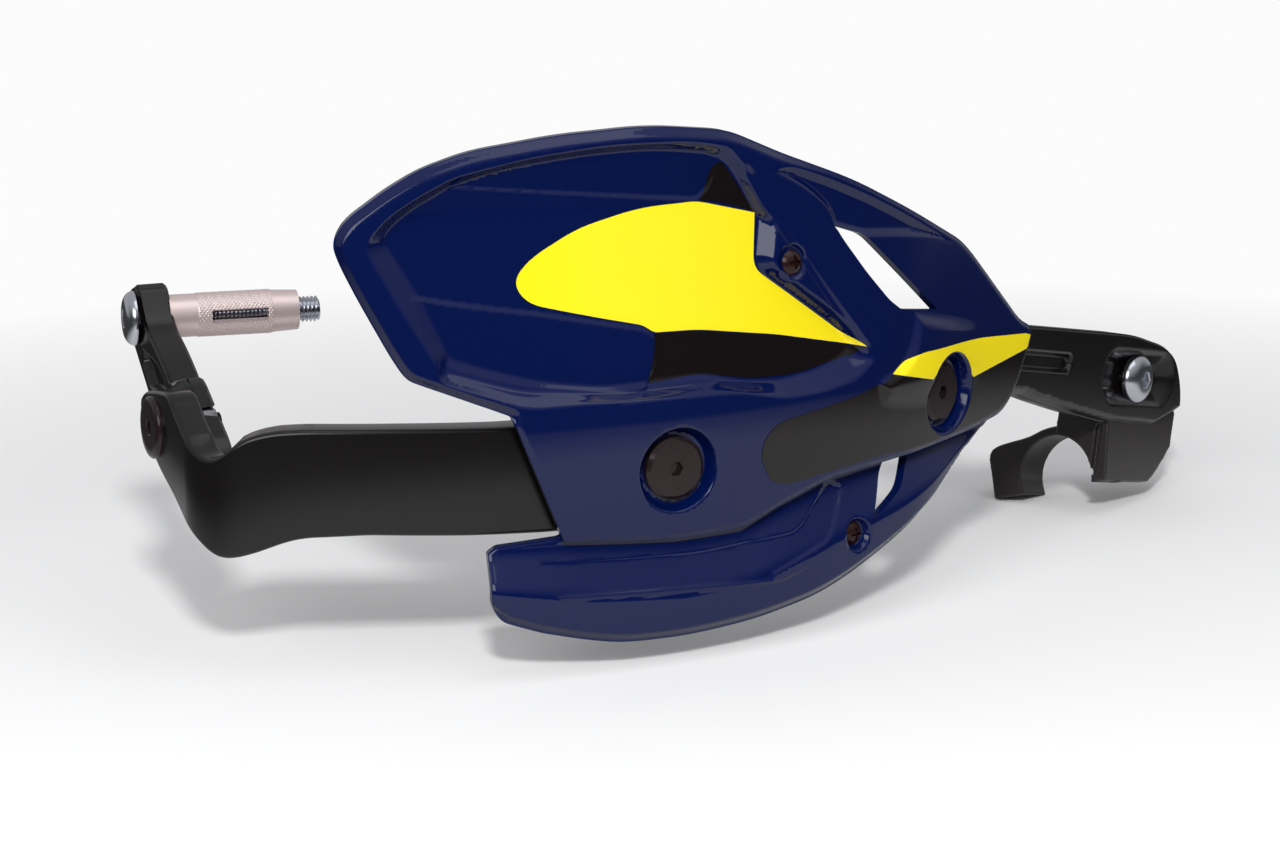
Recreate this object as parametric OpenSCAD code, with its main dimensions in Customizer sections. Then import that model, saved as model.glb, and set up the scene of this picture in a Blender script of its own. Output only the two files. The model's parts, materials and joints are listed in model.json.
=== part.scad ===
// Motorcycle hand guard for the rider's one hand: a black bar that runs from the
// handlebar's end round the front of the hand to a clamp on the handlebar, with a
// blue two-piece shield bolted to its front.
// Origin: the seat of the bar-end anchor, on its axis. +X runs inboard along the
// grip, +Y to the rear, +Z up.

/* [Curve that the guard follows] */
// Radius of the curve in plan, on the shield's middle surface
guard_r = 240; // [220:2:260]
// How far the curve's foremost point lies in front of the anchor's axis
guard_reach = 114; // [108:1:120]
// How far inboard of the anchor's seat that foremost point lies
guard_apex = 78; // [74:1:84]
// Angle in plan at which the inner end leaves the curve and runs straight
inner_angle = 38; // [36:0.5:40]

/* [Guard bar] */
// Thickness of the bar, front to back
bar_t = 10; // [8:0.5:12]
// Height of the bar across the hand
bar_h = 32; // [28:1:36]
// Height of the bar's centre line below the anchor's axis
bar_drop = 31; // [29:0.5:33]
// Outer radius of the bend at the outer corner
bend_r = 20; // [17:0.5:24]
// Angle of the leg to the rear, measured in plan from straight back
leg_angle = 7.8; // [6:0.2:10]
// Thickness of the leg's lug beside the arm
lug_t = 9; // [7:0.5:10]
// Height of the inner paddle above its bolt
paddle_up = 13; // [12:0.5:15]
// Height of the inner paddle below its bolt
paddle_down = 15; // [14:0.5:16]
// Depth of the dished recess round the clamp bolt
dish_depth = 3.5; // [2:0.5:5]

/* [Bar-end arm and anchor] */
// Thickness of the arm
arm_t = 10; // [8:0.5:12]
// Radius of the arm's eye round the anchor bolt
eye_r = 10.5; // [10:0.25:12]
// Outer diameter of the anchor's sleeve
sleeve_d = 13.5; // [12.5:0.1:15]
// Length of the anchor's sleeve
sleeve_l = 28; // [24:1:34]
// Length of the wedge nut behind the sleeve
wedge_l = 8; // [6:0.5:11]
// Width of the sleeve's slots
slot_w = 4.2; // [3:0.2:5]
// Thread diameter of the anchor bolt and the clamp bolt
main_thread = 8; // [6:0.5:8]
// Diameter of their button heads
button_d = 16.4; // [15:0.2:17.5]

/* [Inner clamp] */
// Diameter of the handlebar that the clamp fits
clamp_d = 28.6; // [22.2:0.1:28.6]
// Wall of the clamp round the handlebar
clamp_wall = 5.4; // [5:0.2:7]
// Length of the clamp along the handlebar
clamp_l = 19; // [16:1:24]
// Angle at which the inner end slopes down
inner_slope = 12; // [10:0.5:14]
// Angle at which the clamp is rolled about the handlebar
clamp_roll = 16.5; // [14:0.5:19]

/* [Shield] */
// Wall of both mouldings
wall = 3; // [2.6:0.1:3.4]
// Depth of the wing's sunken floor below its lip
wing_depth = 5; // [3.5:0.25:6]
// Width of the wing's lip
lip_w = 5.5; // [4:0.25:6.5]
// Lean of the wing to the rear, in mm for each mm of height
wing_lean = 0.15; // [0.1:0.01:0.2]
// Clearance between the mid-body's back and the bar's front
shield_gap = 3.5; // [3.4:0.1:4.5]
// Diameter of the flat shield bolts
disc_d = 18.7; // [17:0.1:20]
// Diameter of the round recesses that the shield bolts lie in
recess_d = 25; // [23:0.5:27]
// Depth of those recesses
recess_depth = 2.6; // [2:0.1:3]
// Thread diameter of the shield bolts
disc_thread = 6; // [5:0.5:6]
// Diameter of the heads of the two small screws
small_head_d = 7.5; // [6:0.1:8.5]
// Thickness of the decals
decal_t = 0.3; // [0.2:0.05:0.5]

/* [Hidden] */
$fn = 64;
// Clearance between parts and round bolts
clear = 0.3;
// Overlap where two stretches of one solid run into each other
join = 1;
// Longer than the whole guard, for cuts that run right through
far = 400;
curve_fn = 240;
centre_y = guard_r - guard_reach;
straight_from = guard_r * inner_angle * PI / 180;
bar_top = -bar_drop + bar_h / 2;
bar_low = -bar_drop - bar_h / 2;
// Distances from the curve, positive towards the front
shield_mid = 0;
shield_front = shield_mid + wall / 2;
shield_back = shield_mid - wall / 2;
bar_front = shield_back - shield_gap;
bar_back = bar_front - bar_t;

// Places along the curve (arc length from the foremost point) and heights
outer_bolt = [48, -bar_drop];
inner_bolt = [157.5, -24];
clamp_bolt_at = [295, -43.5];
wing_screw_at = [91, 25];
tab_screw_at = [113, -60];

// Pivot of the arm in the lug: forward of the anchor's axis, and height
pivot_at = [guard_reach - 65, -27];

// Heads, nuts (width across flats, height), washer and bushes
button_h = 4.4;
button_socket = 5;
disc_h = 2.6;
disc_edge = 0.8;
disc_socket = 4;
nut_main = [13, 6.5];
nut_disc = [10, 5];
thread_past_nut = 1.5;
washer_d = 17;
washer_t = 1.6;
bush_wall = 2.2;
boss_r = recess_d / 2 + 1.5;
// Small screws: radius, length and clearance hole; their spring clips
small_r = 2;
small_l = 13;
small_head_h = 2;
clip_size = [14, 1.2, 10];

// Places on the curve
function turn(s) = min(s / guard_r * 180 / PI, inner_angle);
function spot(s, d, z) =
    let (a = turn(s), run = max(s - straight_from, 0))
    [guard_apex + (guard_r + d) * sin(a) + run * cos(a),
     centre_y - (guard_r + d) * cos(a) + run * sin(a), z];
function front_view(points, d) = [for (p = points) let (q = spot(p[0], d, 0)) [q.x, p[1]]];
function arc(c, r, from, to, n) =
    [for (i = [0:n]) let (a = from + (to - from) * i / n) [c[0] + r * cos(a), c[1] + r * sin(a)]];
function mix(a, b, t) = a + (b - a) * t;
function ease(a, b, t) = let (u = min(max((t - a) / (b - a), 0), 1)) u * u * (3 - 2 * u);

// Puts children on the curve: local X inboard, -Y forward, Z up
module on_curve(p, d = 0) {
    translate(spot(p[0], d, p[1])) rotate([0, 0, turn(p[0])]) children();
}

// Puts children at the clamp bolt: local X along the paddle, -Y forward from its face
module at_paddle() {
    on_curve(clamp_bolt_at, bar_front) rotate([0, inner_slope, 0]) children();
}

// Puts children at the handlebar's axis in the clamp: local X along the handlebar
module at_clamp() {
    at_paddle() translate([0, clamp_back, clamp_low]) rotate([-clamp_roll, 0, 0]) children();
}

// Puts children in the arm's frame: local -Y forward along the leg, X inboard
module at_arm() {
    rotate([0, 0, leg_angle]) children();
}

// Puts children on the pivot's axis: local X from the lug towards the arm
module at_pivot() {
    at_arm() translate([0, -pivot_at[0], pivot_at[1]]) children();
}

// Puts children on the pad of the wing's small screw, leaning with the wing
module at_pad() {
    on_curve(wing_screw_at, pad_front) rotate([-atan(wing_lean), 0, 0]) children();
}

// Cylinder along local Y, from y0 in front to y1 behind
module rod_y(r, y0, y1, fn = 48) {
    translate([0, y0, 0]) rotate([-90, 0, 0]) cylinder(r = r, h = y1 - y0, $fn = fn);
}

// Cylinder along local X
module rod_x(r, x0, x1, fn = 48) {
    translate([x0, 0, 0]) rotate([0, 90, 0]) cylinder(r = r, h = x1 - x0, $fn = fn);
}

// Prism seen from the front: an outline in X and Z, run through in Y
module front_prism(points) {
    translate([0, far, 0]) rotate([90, 0, 0]) linear_extrude(2 * far) polygon(points);
}

// Prism seen from the side: an outline in forward distance and height, run through in X
module side_prism(points, x0, x1) {
    translate([x0, 0, 0]) rotate([90, 0, 90]) linear_extrude(x1 - x0)
        polygon([for (p = points) [-p[0], p[1]]]);
}

// Skin between two nets of points: a closed solid, one list of columns for each side
module skin(front, back) {
    n = len(front);
    m = len(front[0]);
    at = function(side, i, j) side * n * m + i * m + j;
    points = [for (net = [front, back]) for (column = net) for (p = column) p];
    faces = [
        for (i = [0:n - 2]) for (j = [0:m - 2]) for (side = [0, 1])
            let (q = [at(side, i, j), at(side, i + 1, j), at(side, i + 1, j + 1), at(side, i, j + 1)],
                 f = side == 0 ? q : [q[3], q[2], q[1], q[0]])
            each [[f[0], f[1], f[2]], [f[0], f[2], f[3]]],
        for (i = [0:n - 2]) for (end = [0, m - 1])
            let (q = [at(0, i, end), at(1, i, end), at(1, i + 1, end), at(0, i + 1, end)],
                 f = end == 0 ? q : [q[3], q[2], q[1], q[0]])
            each [[f[0], f[1], f[2]], [f[0], f[2], f[3]]],
        for (j = [0:m - 2]) for (end = [0, n - 1])
            let (q = [at(0, end, j), at(0, end, j + 1), at(1, end, j + 1), at(1, end, j)],
                 f = end == 0 ? q : [q[3], q[2], q[1], q[0]])
            each [[f[0], f[1], f[2]], [f[0], f[2], f[3]]]];
    polyhedron(points, faces, convexity = 8);
}

// Guard bar
leg_up = -12;
leg_low = -50;
leg_end = pivot_at[0] - 11;
lug_out = arm_t + clear + lug_t;

// The bend touches the curve of the front and the leg's outer side, which lies
// beside the arm: its centre, first in the arm's frame and then in the part's
bend_reach = guard_r + bar_front - bend_r;
bend_local = let (c = cos(leg_angle), s = sin(leg_angle), x = bend_r - lug_out,
    across = guard_apex * c + centre_y * s - x)
    [x, centre_y * c - guard_apex * s - sqrt(bend_reach * bend_reach - across * across)];
bend_centre = [bend_local.x * cos(leg_angle) - bend_local.y * sin(leg_angle),
               bend_local.x * sin(leg_angle) + bend_local.y * cos(leg_angle)];
bend_turn = atan2(bend_centre.x - guard_apex, centre_y - bend_centre.y);
bend_s = bend_turn * guard_r * PI / 180;

// Straight stretch between the curve and the paddle
straight_l = clamp_bolt_at[0] - straight_from - 90;
paddle_reach = 35;
// Dished recess: radius of its ends and distance between them
dish_r = 10;
dish_span = 20;
// Blind pocket: from, to, height and depth
pocket_from = -95;
pocket_to = -47;
pocket_h = 6.4;
pocket_depth = 3;
// How far the pivot bolt's head is sunk in the lug
lug_sink = 1.2;

module sector(a0, a1) {
    am = (a0 + a1) / 2;
    polygon([[0, 0], for (a = [a0, am, a1]) far * [sin(a), -cos(a)]]);
}

module bar_plan_front() {
    translate([guard_apex, centre_y]) intersection() {
        difference() {
            circle(r = guard_r + bar_front, $fn = curve_fn);
            circle(r = guard_r + bar_back, $fn = curve_fn);
        }
        sector(bend_turn, inner_angle);
    }
    translate([spot(straight_from, bar_back, 0).x, spot(straight_from, bar_back, 0).y])
        rotate(inner_angle) translate([-join, -bar_t]) square([straight_l, bar_t]);
}

// Bend and leg in plan: the leg's outer and inner side, the round bend, and a tongue
// that runs on into the front stretch. The bend is finer than the front by a hair
// on each side, so that no two round faces touch along a line
hair = 0.05;
module bar_plan_corner() {
    c = [bend_centre.x, bend_centre.y];
    along = [-sin(leg_angle), cos(leg_angle)];
    out = [-cos(leg_angle), -sin(leg_angle)];
    leg_l = -bend_centre.y - leg_end + 4;
    ahead = [sin(bend_turn), -cos(bend_turn)];
    inboard = [cos(bend_turn), sin(bend_turn)];
    polygon([
        each arc(c, bend_r - hair, leg_angle - 180, bend_turn - 90, 16),
        for (q = [[1, 0], [1, join], [bar_t - 1, join], [bar_t - 1, 0]])
            c + (bend_r - q[0]) * ahead + q[1] * inboard,
        each arc(c, bend_r - bar_t + hair, bend_turn - 90, leg_angle - 180, 16),
        c + (bend_r - lug_t) * out + 2 * along,
        c + (bend_r - lug_t) * out + leg_l * along,
        c + (bend_r - hair) * out + leg_l * along]);
}

// Side of the leg and the bend: the lug round the pivot, the dip behind the bend and
// the front stretch
function corner_outline(lug, front) = [
    [leg_end, -19], each arc([leg_end + 9, leg_up - 9], 9, 160, 90, 4),
    [lug + 9, leg_up], [lug + 24, leg_up - 4], [front - 28, -22], [front - 20, -23.5],
    [front - 12, -22], [front - 3, bar_top], [front + 30, bar_top], [front + 30, leg_low],
    [front - 14, leg_low], [lug + 18, -42], [lug + 5, -38], [lug - 6, -33], [leg_end, -27]];

function paddle_outline() = [
    [-110, 8], [-76, paddle_up - 0.5], [-4, paddle_up],
    each arc([19, -3], paddle_up + 1, 68, 0, 6),
    [paddle_reach, -11], [26, -paddle_down + 2.5], [15, -paddle_down + 0.5], [-8, -paddle_down],
    [-40, -paddle_down + 4], [-71, -paddle_down + 7.5], [-110, -10]];

module guard_bar() {
    color([0.13, 0.12, 0.13]) difference() {
        union() {
            intersection() {
                translate([0, 0, leg_low]) linear_extrude(-leg_low + leg_up) bar_plan_front();
                front_prism(front_view([
                    [bend_s - 1, bar_top], [40, bar_top], [110, -12], [157, -10.5], [200, -13],
                    [200, -34.5], [157, -35], [110, -39], [60, bar_low + 1], [12, bar_low],
                    [-30, bar_low + 1], [-45, bar_low + 0.5], [bend_s - 1, leg_low]], bar_front));
            }
            intersection() {
                translate([0, 0, leg_low]) linear_extrude(-leg_low) bar_plan_corner();
                side_prism(corner_outline(pivot_at[0], guard_reach), -60, 60);
            }
            at_paddle() rotate([-90, 0, 0]) linear_extrude(bar_t)
                polygon([for (p = paddle_outline()) [p[0], -p[1]]]);
        }
        // Dished recess and bore for the clamp bolt
        at_paddle() {
            for (x = [-dish_span / 2, dish_span / 2])
                translate([x, 0, 0]) rod_y(dish_r, -1, dish_depth);
            translate([-dish_span / 2, -1, -dish_r])
                cube([dish_span, 1 + dish_depth, 2 * dish_r]);
            rod_y(main_thread / 2 + clear, -1, bar_t + 1);
            // Blind pocket towards the shield
            translate([pocket_from, -1, -1])
                cube([pocket_to - pocket_from, 1 + pocket_depth, pocket_h]);
        }
        for (p = [outer_bolt, inner_bolt])
            on_curve(p) rod_y(disc_thread / 2 + clear, -bar_front - 2, -bar_back + 2);
        at_pivot() {
            rod_x(disc_thread / 2 + clear, -lug_out - 10, 10);
            rod_x(disc_d / 2 + clear, -lug_out - 10, -lug_out + lug_sink);
        }
    }
}

// Bar-end arm
arm_pocket = 2.5;

function arm_outline(lug) = [
    each arc([0, 0], eye_r, 230, 20, 14),
    [13, -4], [25, -9.5], [lug - 13, -13.5], [lug - 11, -11], [lug + 15, -23],
    each arc([lug + 15, -31], 7, 60, -60, 5),
    [lug + 6, -42], [lug - 9, -38], [20, -31], [6, -23]];

module bar_end_arm() {
    color([0.15, 0.14, 0.15]) difference() {
        union() {
            at_arm() side_prism(arm_outline(pivot_at[0]), -arm_t, 0);
            rod_x(eye_r, -arm_t, 0, 64);
        }
        rod_x(main_thread / 2 + clear, -arm_t - 5, 5);
        rod_x(eye_r + 1, 0, 5);
        rod_x(eye_r + 1, -arm_t - 5, -arm_t);
        at_pivot() rod_x(disc_thread / 2 + clear, -arm_t - 5, 5);
        // Tapered pocket in the outer side
        at_arm() side_prism([[12, -9], [30, -16], [30, -29], [10, -20]],
            -arm_t - 1, -arm_t + arm_pocket);
    }
}

// Flat disc head with a hexagon socket, facing -Y, its seat at y = 0
module disc_head() {
    difference() {
        union() {
            rod_y(disc_d / 2, -disc_h + disc_edge, 0, 64);
            translate([0, -disc_h + disc_edge, 0]) rotate([90, 0, 0])
                cylinder(r1 = disc_d / 2, r2 = disc_d / 2 - 1.5 * disc_edge, h = disc_edge, $fn = 64);
        }
        rod_y(disc_socket / sqrt(3), -disc_h - 1, -disc_edge, 6);
    }
}

// Round button head with a hexagon socket, facing -Y, its seat at y = 0
module button_head() {
    ball = (button_h * button_h + button_d * button_d / 4) / (2 * button_h);
    difference() {
        intersection() {
            rod_y(button_d / 2, -button_h, 0, 64);
            translate([0, ball - button_h, 0]) sphere(r = ball, $fn = 96);
        }
        rod_y(button_socket / sqrt(3), -button_h - 1, -button_h + 3, 6);
    }
}

module hex_nut(size, hole_r) {
    difference() {
        rod_y(size[0] / sqrt(3), 0, size[1], 6);
        rod_y(hole_r, -1, size[1] + 1);
    }
}

// Thread that stands out past the wedge nut
anchor_tail = 7;

module anchor_bolt() {
    color([0.78, 0.79, 0.82]) {
        translate([-arm_t, 0, 0]) rotate([0, 0, -90]) button_head();
        rod_x(main_thread / 2, -arm_t, sleeve_l + wedge_l + anchor_tail);
    }
}

// Solid stretches at the sleeve's two ends, and the turn of its slots
sleeve_solid = [9, 2];
slot_turn = -37.5;

module anchor_sleeve() {
    color([0.80, 0.72, 0.71]) difference() {
        rod_x(sleeve_d / 2, 0, sleeve_l, 64);
        rod_x(main_thread / 2 + clear, -1, sleeve_l + 1);
        for (a = [slot_turn, slot_turn + 180]) rotate([a, 0, 0])
            translate([sleeve_solid[0], -sleeve_d, -slot_w / 2])
                cube([sleeve_l - sleeve_solid[0] - sleeve_solid[1], sleeve_d, slot_w]);
    }
}

module anchor_wedge() {
    color([0.82, 0.76, 0.76]) difference() {
        translate([sleeve_l, 0, 0]) rotate([0, 90, 0])
            cylinder(r1 = sleeve_d / 2 - 0.2, r2 = sleeve_d / 2 - 0.6, h = wedge_l, $fn = 64);
        rod_x(main_thread / 2, sleeve_l - 1, sleeve_l + wedge_l + 1);
    }
}

module pivot_bolt() {
    color([0.1, 0.1, 0.11]) at_pivot() {
        translate([-lug_out + lug_sink, 0, 0]) rotate([0, 0, -90]) disc_head();
        rod_x(disc_thread / 2, -lug_out + lug_sink, nut_disc[1] + thread_past_nut);
    }
}

module pivot_nut() {
    color([0.2, 0.2, 0.21]) at_pivot()
        rotate([0, 0, -90]) hex_nut(nut_disc, disc_thread / 2);
}

// Inner clamp: where the handlebar's axis lies behind and below the clamp bolt, and
// where the clamp starts along it
clamp_r = clamp_d / 2;
clamp_back = 20.5;
clamp_low = -38;
clamp_from = -10;
// How far the saddle's end and the boss stand back from the block's outboard face
end_step = 0.8;
// Room between the handlebar and the block past the saddle
block_relief = 1.5;
bracket_t = 12;
bracket_boss_r = 12;
// Rear lug of the clamp: how far out and how high
lug_out_r = clamp_r + 10.6;
lug_up = 12.5;
// Tapped holes for the cap that the photo does not show
clamp_hole_r = 2.3;
clamp_hole_l = 11;
clamp_hole_in = 3.6;

module clamp_bracket() {
    color([0.2, 0.19, 0.2]) difference() {
        union() {
            // Block under the paddle, flush with its face
            at_paddle() rotate([-90, 0, 0])
                linear_extrude(bar_t + bracket_t) polygon([
                    for (p = [[clamp_from, -paddle_down - clear], [20, -paddle_down - clear],
                              [34, -paddle_down - 1], [33, -24], [29, -26.5], [18, -36],
                              [clamp_from, -38]]) [p[0], -p[1]]]);
            // Boss behind the paddle, which the bolt draws against it
            at_paddle() translate([0, bar_t, 0]) rotate([-90, 0, 0])
                linear_extrude(bracket_t) polygon([
                    for (p = [each arc([2, 0], bracket_boss_r, 0, 180, 12),
                              [clamp_from + end_step, -paddle_down - 2],
                              [28, -paddle_down - 2]])
                    [p[0], -p[1]]]);
            // Upper half of the clamp
            at_clamp() {
                rod_x(clamp_r + clamp_wall, clamp_from + end_step, clamp_from + clamp_l, 96);
                translate([clamp_from + end_step, 0, 0])
                    cube([clamp_l - end_step, lug_out_r, lug_up]);
            }
        }
        at_clamp() {
            rod_x(clamp_r, clamp_from - 5, clamp_from + clamp_l, 96);
            rod_x(clamp_r + block_relief, clamp_from + clamp_l, 80, 96);
            // Face against the cap
            translate([-60, -60, -60]) cube([140, 140, 60]);
            for (y = [-clamp_r - clamp_hole_in, clamp_r + clamp_hole_in + 2])
                translate([clamp_from + clamp_l / 2, y, -1])
                    cylinder(r = clamp_hole_r, h = clamp_hole_l + 1, $fn = 32);
        }
        at_paddle() rod_y(main_thread / 2 + clear, -1, 60);
        // Groove between block and clamp
        at_paddle() translate([clamp_from - 1, bar_t - 3.6, -34]) cube([5, 3, 16]);
    }
}

module clamp_bolt() {
    color([0.78, 0.79, 0.82]) at_paddle() {
        translate([0, dish_depth, 0]) button_head();
        rod_y(main_thread / 2, dish_depth,
            bar_t + bracket_t + washer_t + nut_main[1] + thread_past_nut);
    }
}

module clamp_washer() {
    color([0.7, 0.71, 0.73]) at_paddle() difference() {
        rod_y(washer_d / 2, bar_t + bracket_t, bar_t + bracket_t + washer_t);
        rod_y(main_thread / 2 + clear, 0, 60);
    }
}

module clamp_nut() {
    color([0.7, 0.71, 0.73]) at_paddle() translate([0, bar_t + bracket_t + washer_t, 0])
        hex_nut(nut_main, main_thread / 2);
}

// Upper shield: where the wing and the mid-body start and end along the curve, where
// the dish ends at the top and at the bottom, and the height of the wing's foot
wing_tip = -52;
wing_to = 192;
wing_foot = -11.5;
body_from = -2;
body_to = 209;
dish_to = [70, 117];
// How far the rim of the wing turns back
rim_depth = 4;

function wing_top(s) = lookup(s, [
    [wing_tip, 42], [-50, 45], [-46, 49], [-26, 59], [-6, 64], [15, 67], [41, 68], [71, 65],
    [91, 56], [116, 46], [143, 34], [166, 23], [173, 18], [201, -8], [body_to, -12]]);
function wing_bottom(s) = lookup(s, [
    [wing_tip, 37], [-43, 17], [-35, 4], [-31, 0], [-27, -1.5], [body_from, wing_foot],
    [98, wing_foot], [126, wing_foot + 5.5], [wing_to, wing_foot + 5]]);
function crest(z) = shield_front + 2.5 - wing_lean * max(z - wing_foot, 0);

// Columns of the wing: place at the top, place at the bottom, and how far its
// floor is sunk (0 on the lip and the strut, 1 in the dish)
wing_columns = [
    [wing_tip, wing_tip, 0], [-50, -50, 0], [-46, -45.5, 0], [-43, -42, 1], [-36, -34, 1],
    [-26, -27, 1], [-16, -15, 1], [-6, -2, 1], [5, 12, 1], [15, 26, 1], [28, 42, 1],
    [41, 58, 1], [52, 76, 1], [61, 94, 1], [66, 107, 1], [dish_to[0], dish_to[1], 1],
    [dish_to[0] + 3, dish_to[1] + 4, 0], [82, 130, 0], [91, 138, 0], [104, 146, 0],
    [116, 153, 0], [130, 161, 0], [143, 169, 0], [155, 176, 0], [166, 182, 0], [173, 185, 0],
    [183, 189, 0], [wing_to, wing_to, 0]];

// One column: points down from the top edge to the bottom edge, set back by
// off and drawn in by inset at the rim
function wing_column(c, off, inset) =
    let (st = c[0], sb = c[1], zt = wing_top(st), zb = wing_bottom(sb), tall = zt - zb,
         rim = min(inset / tall, 0.12), edge = max(rim, min(1.2 / tall, 0.1)),
         lip = min(lip_w / tall, 0.18), foot = min((lip_w + 3) / tall, 0.26),
         sink = c[2] * wing_depth,
         rows = [
             [rim, off - rim_depth],
             [rim, off - 1.4],
             [edge, off],
             [lip, off],
             [foot, off - sink * 1.2],
             [0.29, off - sink * 1.2],
             [0.33, off - sink],
             [0.5, off - sink],
             [0.62, off - sink],
             [0.66, off - sink * 0.8],
             [1 - foot, off - sink * 0.8],
             [1 - lip, off],
             [1 - edge, off],
             [1 - rim, off - 1.4],
             [1 - rim, off - rim_depth]])
    [for (r = rows) let (z = mix(zt, zb, r[0]))
        spot(mix(st, sb, r[0]), crest(z) + r[1], z)];

// Mid-body: from under the wing's foot to the lower edge
function body_low(s) = lookup(s, [
    [8, -40], [12, -49], [49, -52], [70, -52], [83, -46.5], [103, -41.5], [120, -40],
    [185, -38], [196, -36], [204, -26], [body_to, -13]]);
body_stations = [body_from, 5, 13, 30, 49, 62, 70, 83, 95, 103, 112, 120, 130, 145, 160, 172,
                 182, wing_to, 196, 201, 205, 208];
function body_column(s, off) =
    let (slant = max(13 - s, 0) / 15,
         zt = s > wing_to - 4 ? wing_top(s) : wing_bottom(max(s, body_from)) + 3,
         zb = s < 13 ? mix(body_low(13), zt - 8, slant) : body_low(s), tall = zt - zb,
         flush = mix(2.4, crest(0) + 1.8, ease(92, 124, s)),
         rows = [[0, -0.5], [0.4 / tall, flush], [min(7 / tall, 0.4), flush - 0.1],
                 [0.55, mix(flush, 2.2, 0.6)], [1 - min(3.5 / tall, 0.2), 2],
                 [1 - min(0.8 / tall, 0.05), 0.8], [1, -0.8]])
    [for (r = rows) spot(s, max(shield_mid + r[1] + off, shield_back), mix(zt, zb, r[0]))];

// Pad of the small screw: its face, and its back behind the sunken floor
pad_front = crest(wing_screw_at[1]) - 0.8;
pad_depth = wing_depth + wall + 1.5;
vent = [[111, 33], [123, 29], [150, 6], [156, 1.5], [137, 4]];

module upper_shield() {
    color([0.04, 0.07, 0.28]) difference() {
        union() {
            skin([for (c = wing_columns) wing_column(c, 0, 0)],
                 [for (c = wing_columns) wing_column(c, -wall, wall)]);
            skin([for (s = body_stations) body_column(s, 0)],
                 [for (s = body_stations) body_column(s, -wall)]);
            for (p = [outer_bolt, inner_bolt]) on_curve(p)
                rod_y(boss_r, -shield_front, -bar_front);
            // Pad beside the strut, for the small screw
            at_pad() rotate([90, 0, 0]) mirror([0, 0, 1]) linear_extrude(pad_depth)
                polygon([[-7, 15], [-11, 0], [-9, -3], [19, -23], [23, -23], [1, 15]]);
        }
        front_prism(front_view(vent, crest(18)));
        for (p = [outer_bolt, inner_bolt]) on_curve(p) {
            rod_y(recess_d / 2, -shield_front - 10, -shield_front + recess_depth);
            rod_y(disc_thread / 2 + bush_wall + clear, -shield_front - 10, -bar_front + 2);
        }
        at_pad() rod_y(small_r + clear, -5, pad_depth + 5, 32);
    }
}

// Lower deflector: its flange lies between the mid-body and the bar
defl_from = -9;
defl_to = 192;
defl_front = shield_back - clear;
defl_wall = min(wall, shield_gap - 2 * clear);
function defl_low(s) = lookup(s, [
    [defl_from, -66], [-7, -70.5], [7, -76], [20, -79], [31, -81], [51, -81.5], [76, -80],
    [95, -77], [109, -73], [131, -65], [151, -57], [184, -43], [defl_to, -40]]);
function defl_top(s) = lookup(s, [
    [defl_from, -52], [-6, -50], [13, -49], [20, -43], [60, -43], [83, -38], [120, -33],
    [defl_to, -31]]);
defl_stations = [defl_from, -7, -4, 7, 20, 35, 51, 64, 76, 95, 109, 120, 131, 141, 151, 168,
                 184, defl_to];
function defl_column(s, off) =
    let (zt = defl_top(s), zb = defl_low(s), zf = min(body_low(max(s, 13)) - 2 * clear, zt - 0.5),
         full = ease(3, 20, zf - zb),
         rows = [[0.12, 0], [0.17, 0.9], [0.43, 1.6], [0.49, 2.6], [0.78, 5.2], [0.9, 6],
                 [0.98, 5], [1, 3]])
    [spot(s, defl_front + off, zt),
     for (r = rows) spot(s, defl_front + r[1] * full + off, mix(zf, zb, r[0]))];
// Boss of the small screw: radius, face and back, as distances from the flange's front
tab_boss_r = 5.6;
tab_face = 3.6;
tab_back = -3.4;
lower_vent = [[131, -39], [131, -41], [118, -57.5], [119.5, -56], [134, -50], [142, -43],
              [144, -39]];

module lower_deflector() {
    color([0.04, 0.07, 0.28]) difference() {
        union() {
            skin([for (s = defl_stations) defl_column(s, 0)],
                 [for (s = defl_stations) defl_column(s, -defl_wall)]);
            on_curve(tab_screw_at, defl_front) rod_y(tab_boss_r, -tab_face, -tab_back);
        }
        front_prism(front_view(lower_vent, defl_front));
        for (p = [outer_bolt, inner_bolt]) on_curve(p) rod_y(boss_r + clear, -10, 20);
        on_curve(tab_screw_at, defl_front) {
            rod_y(small_r + clear, -10, 10, 32);
            rod_y(tab_boss_r - 1, -10, -tab_face);
        }
    }
}

// Shield fastenings
module shield_bolt(p) {
    color([0.09, 0.08, 0.08]) on_curve(p) {
        translate([0, -shield_front + recess_depth, 0]) disc_head();
        rod_y(disc_thread / 2, -shield_front + recess_depth,
            -bar_back + nut_disc[1] + thread_past_nut);
    }
}

module shield_bush(p) {
    color([0.6, 0.6, 0.62]) on_curve(p) difference() {
        rod_y(disc_thread / 2 + bush_wall, -shield_front + recess_depth, -bar_front);
        rod_y(disc_thread / 2, -20, 20);
    }
}

module shield_nut(p) {
    color([0.6, 0.6, 0.62]) on_curve(p) translate([0, -bar_back, 0])
        hex_nut(nut_disc, disc_thread / 2);
}

// Small screw with a cross recess, its seat at y = 0
module small_screw() {
    ball = (small_head_h * small_head_h + small_head_d * small_head_d / 4) / (2 * small_head_h);
    color([0.2, 0.1, 0.09]) {
        rod_y(small_r, 0, small_l, 32);
        difference() {
            intersection() {
                rod_y(small_head_d / 2, -small_head_h, 0, 48);
                translate([0, ball - small_head_h, 0]) sphere(r = ball, $fn = 64);
            }
            for (a = [0, 90]) rotate([0, a, 0])
                translate([-2, -small_head_h - 1, -0.45]) cube([4, 2.2, 0.9]);
        }
    }
}

// Spring clip on a small screw, its front at y = 0
module spring_clip() {
    color([0.35, 0.35, 0.37]) difference() {
        translate([-clip_size[0] / 2, 0, -clip_size[2] / 2]) cube(clip_size);
        rod_y(small_r, -5, 5, 32);
    }
}

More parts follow.
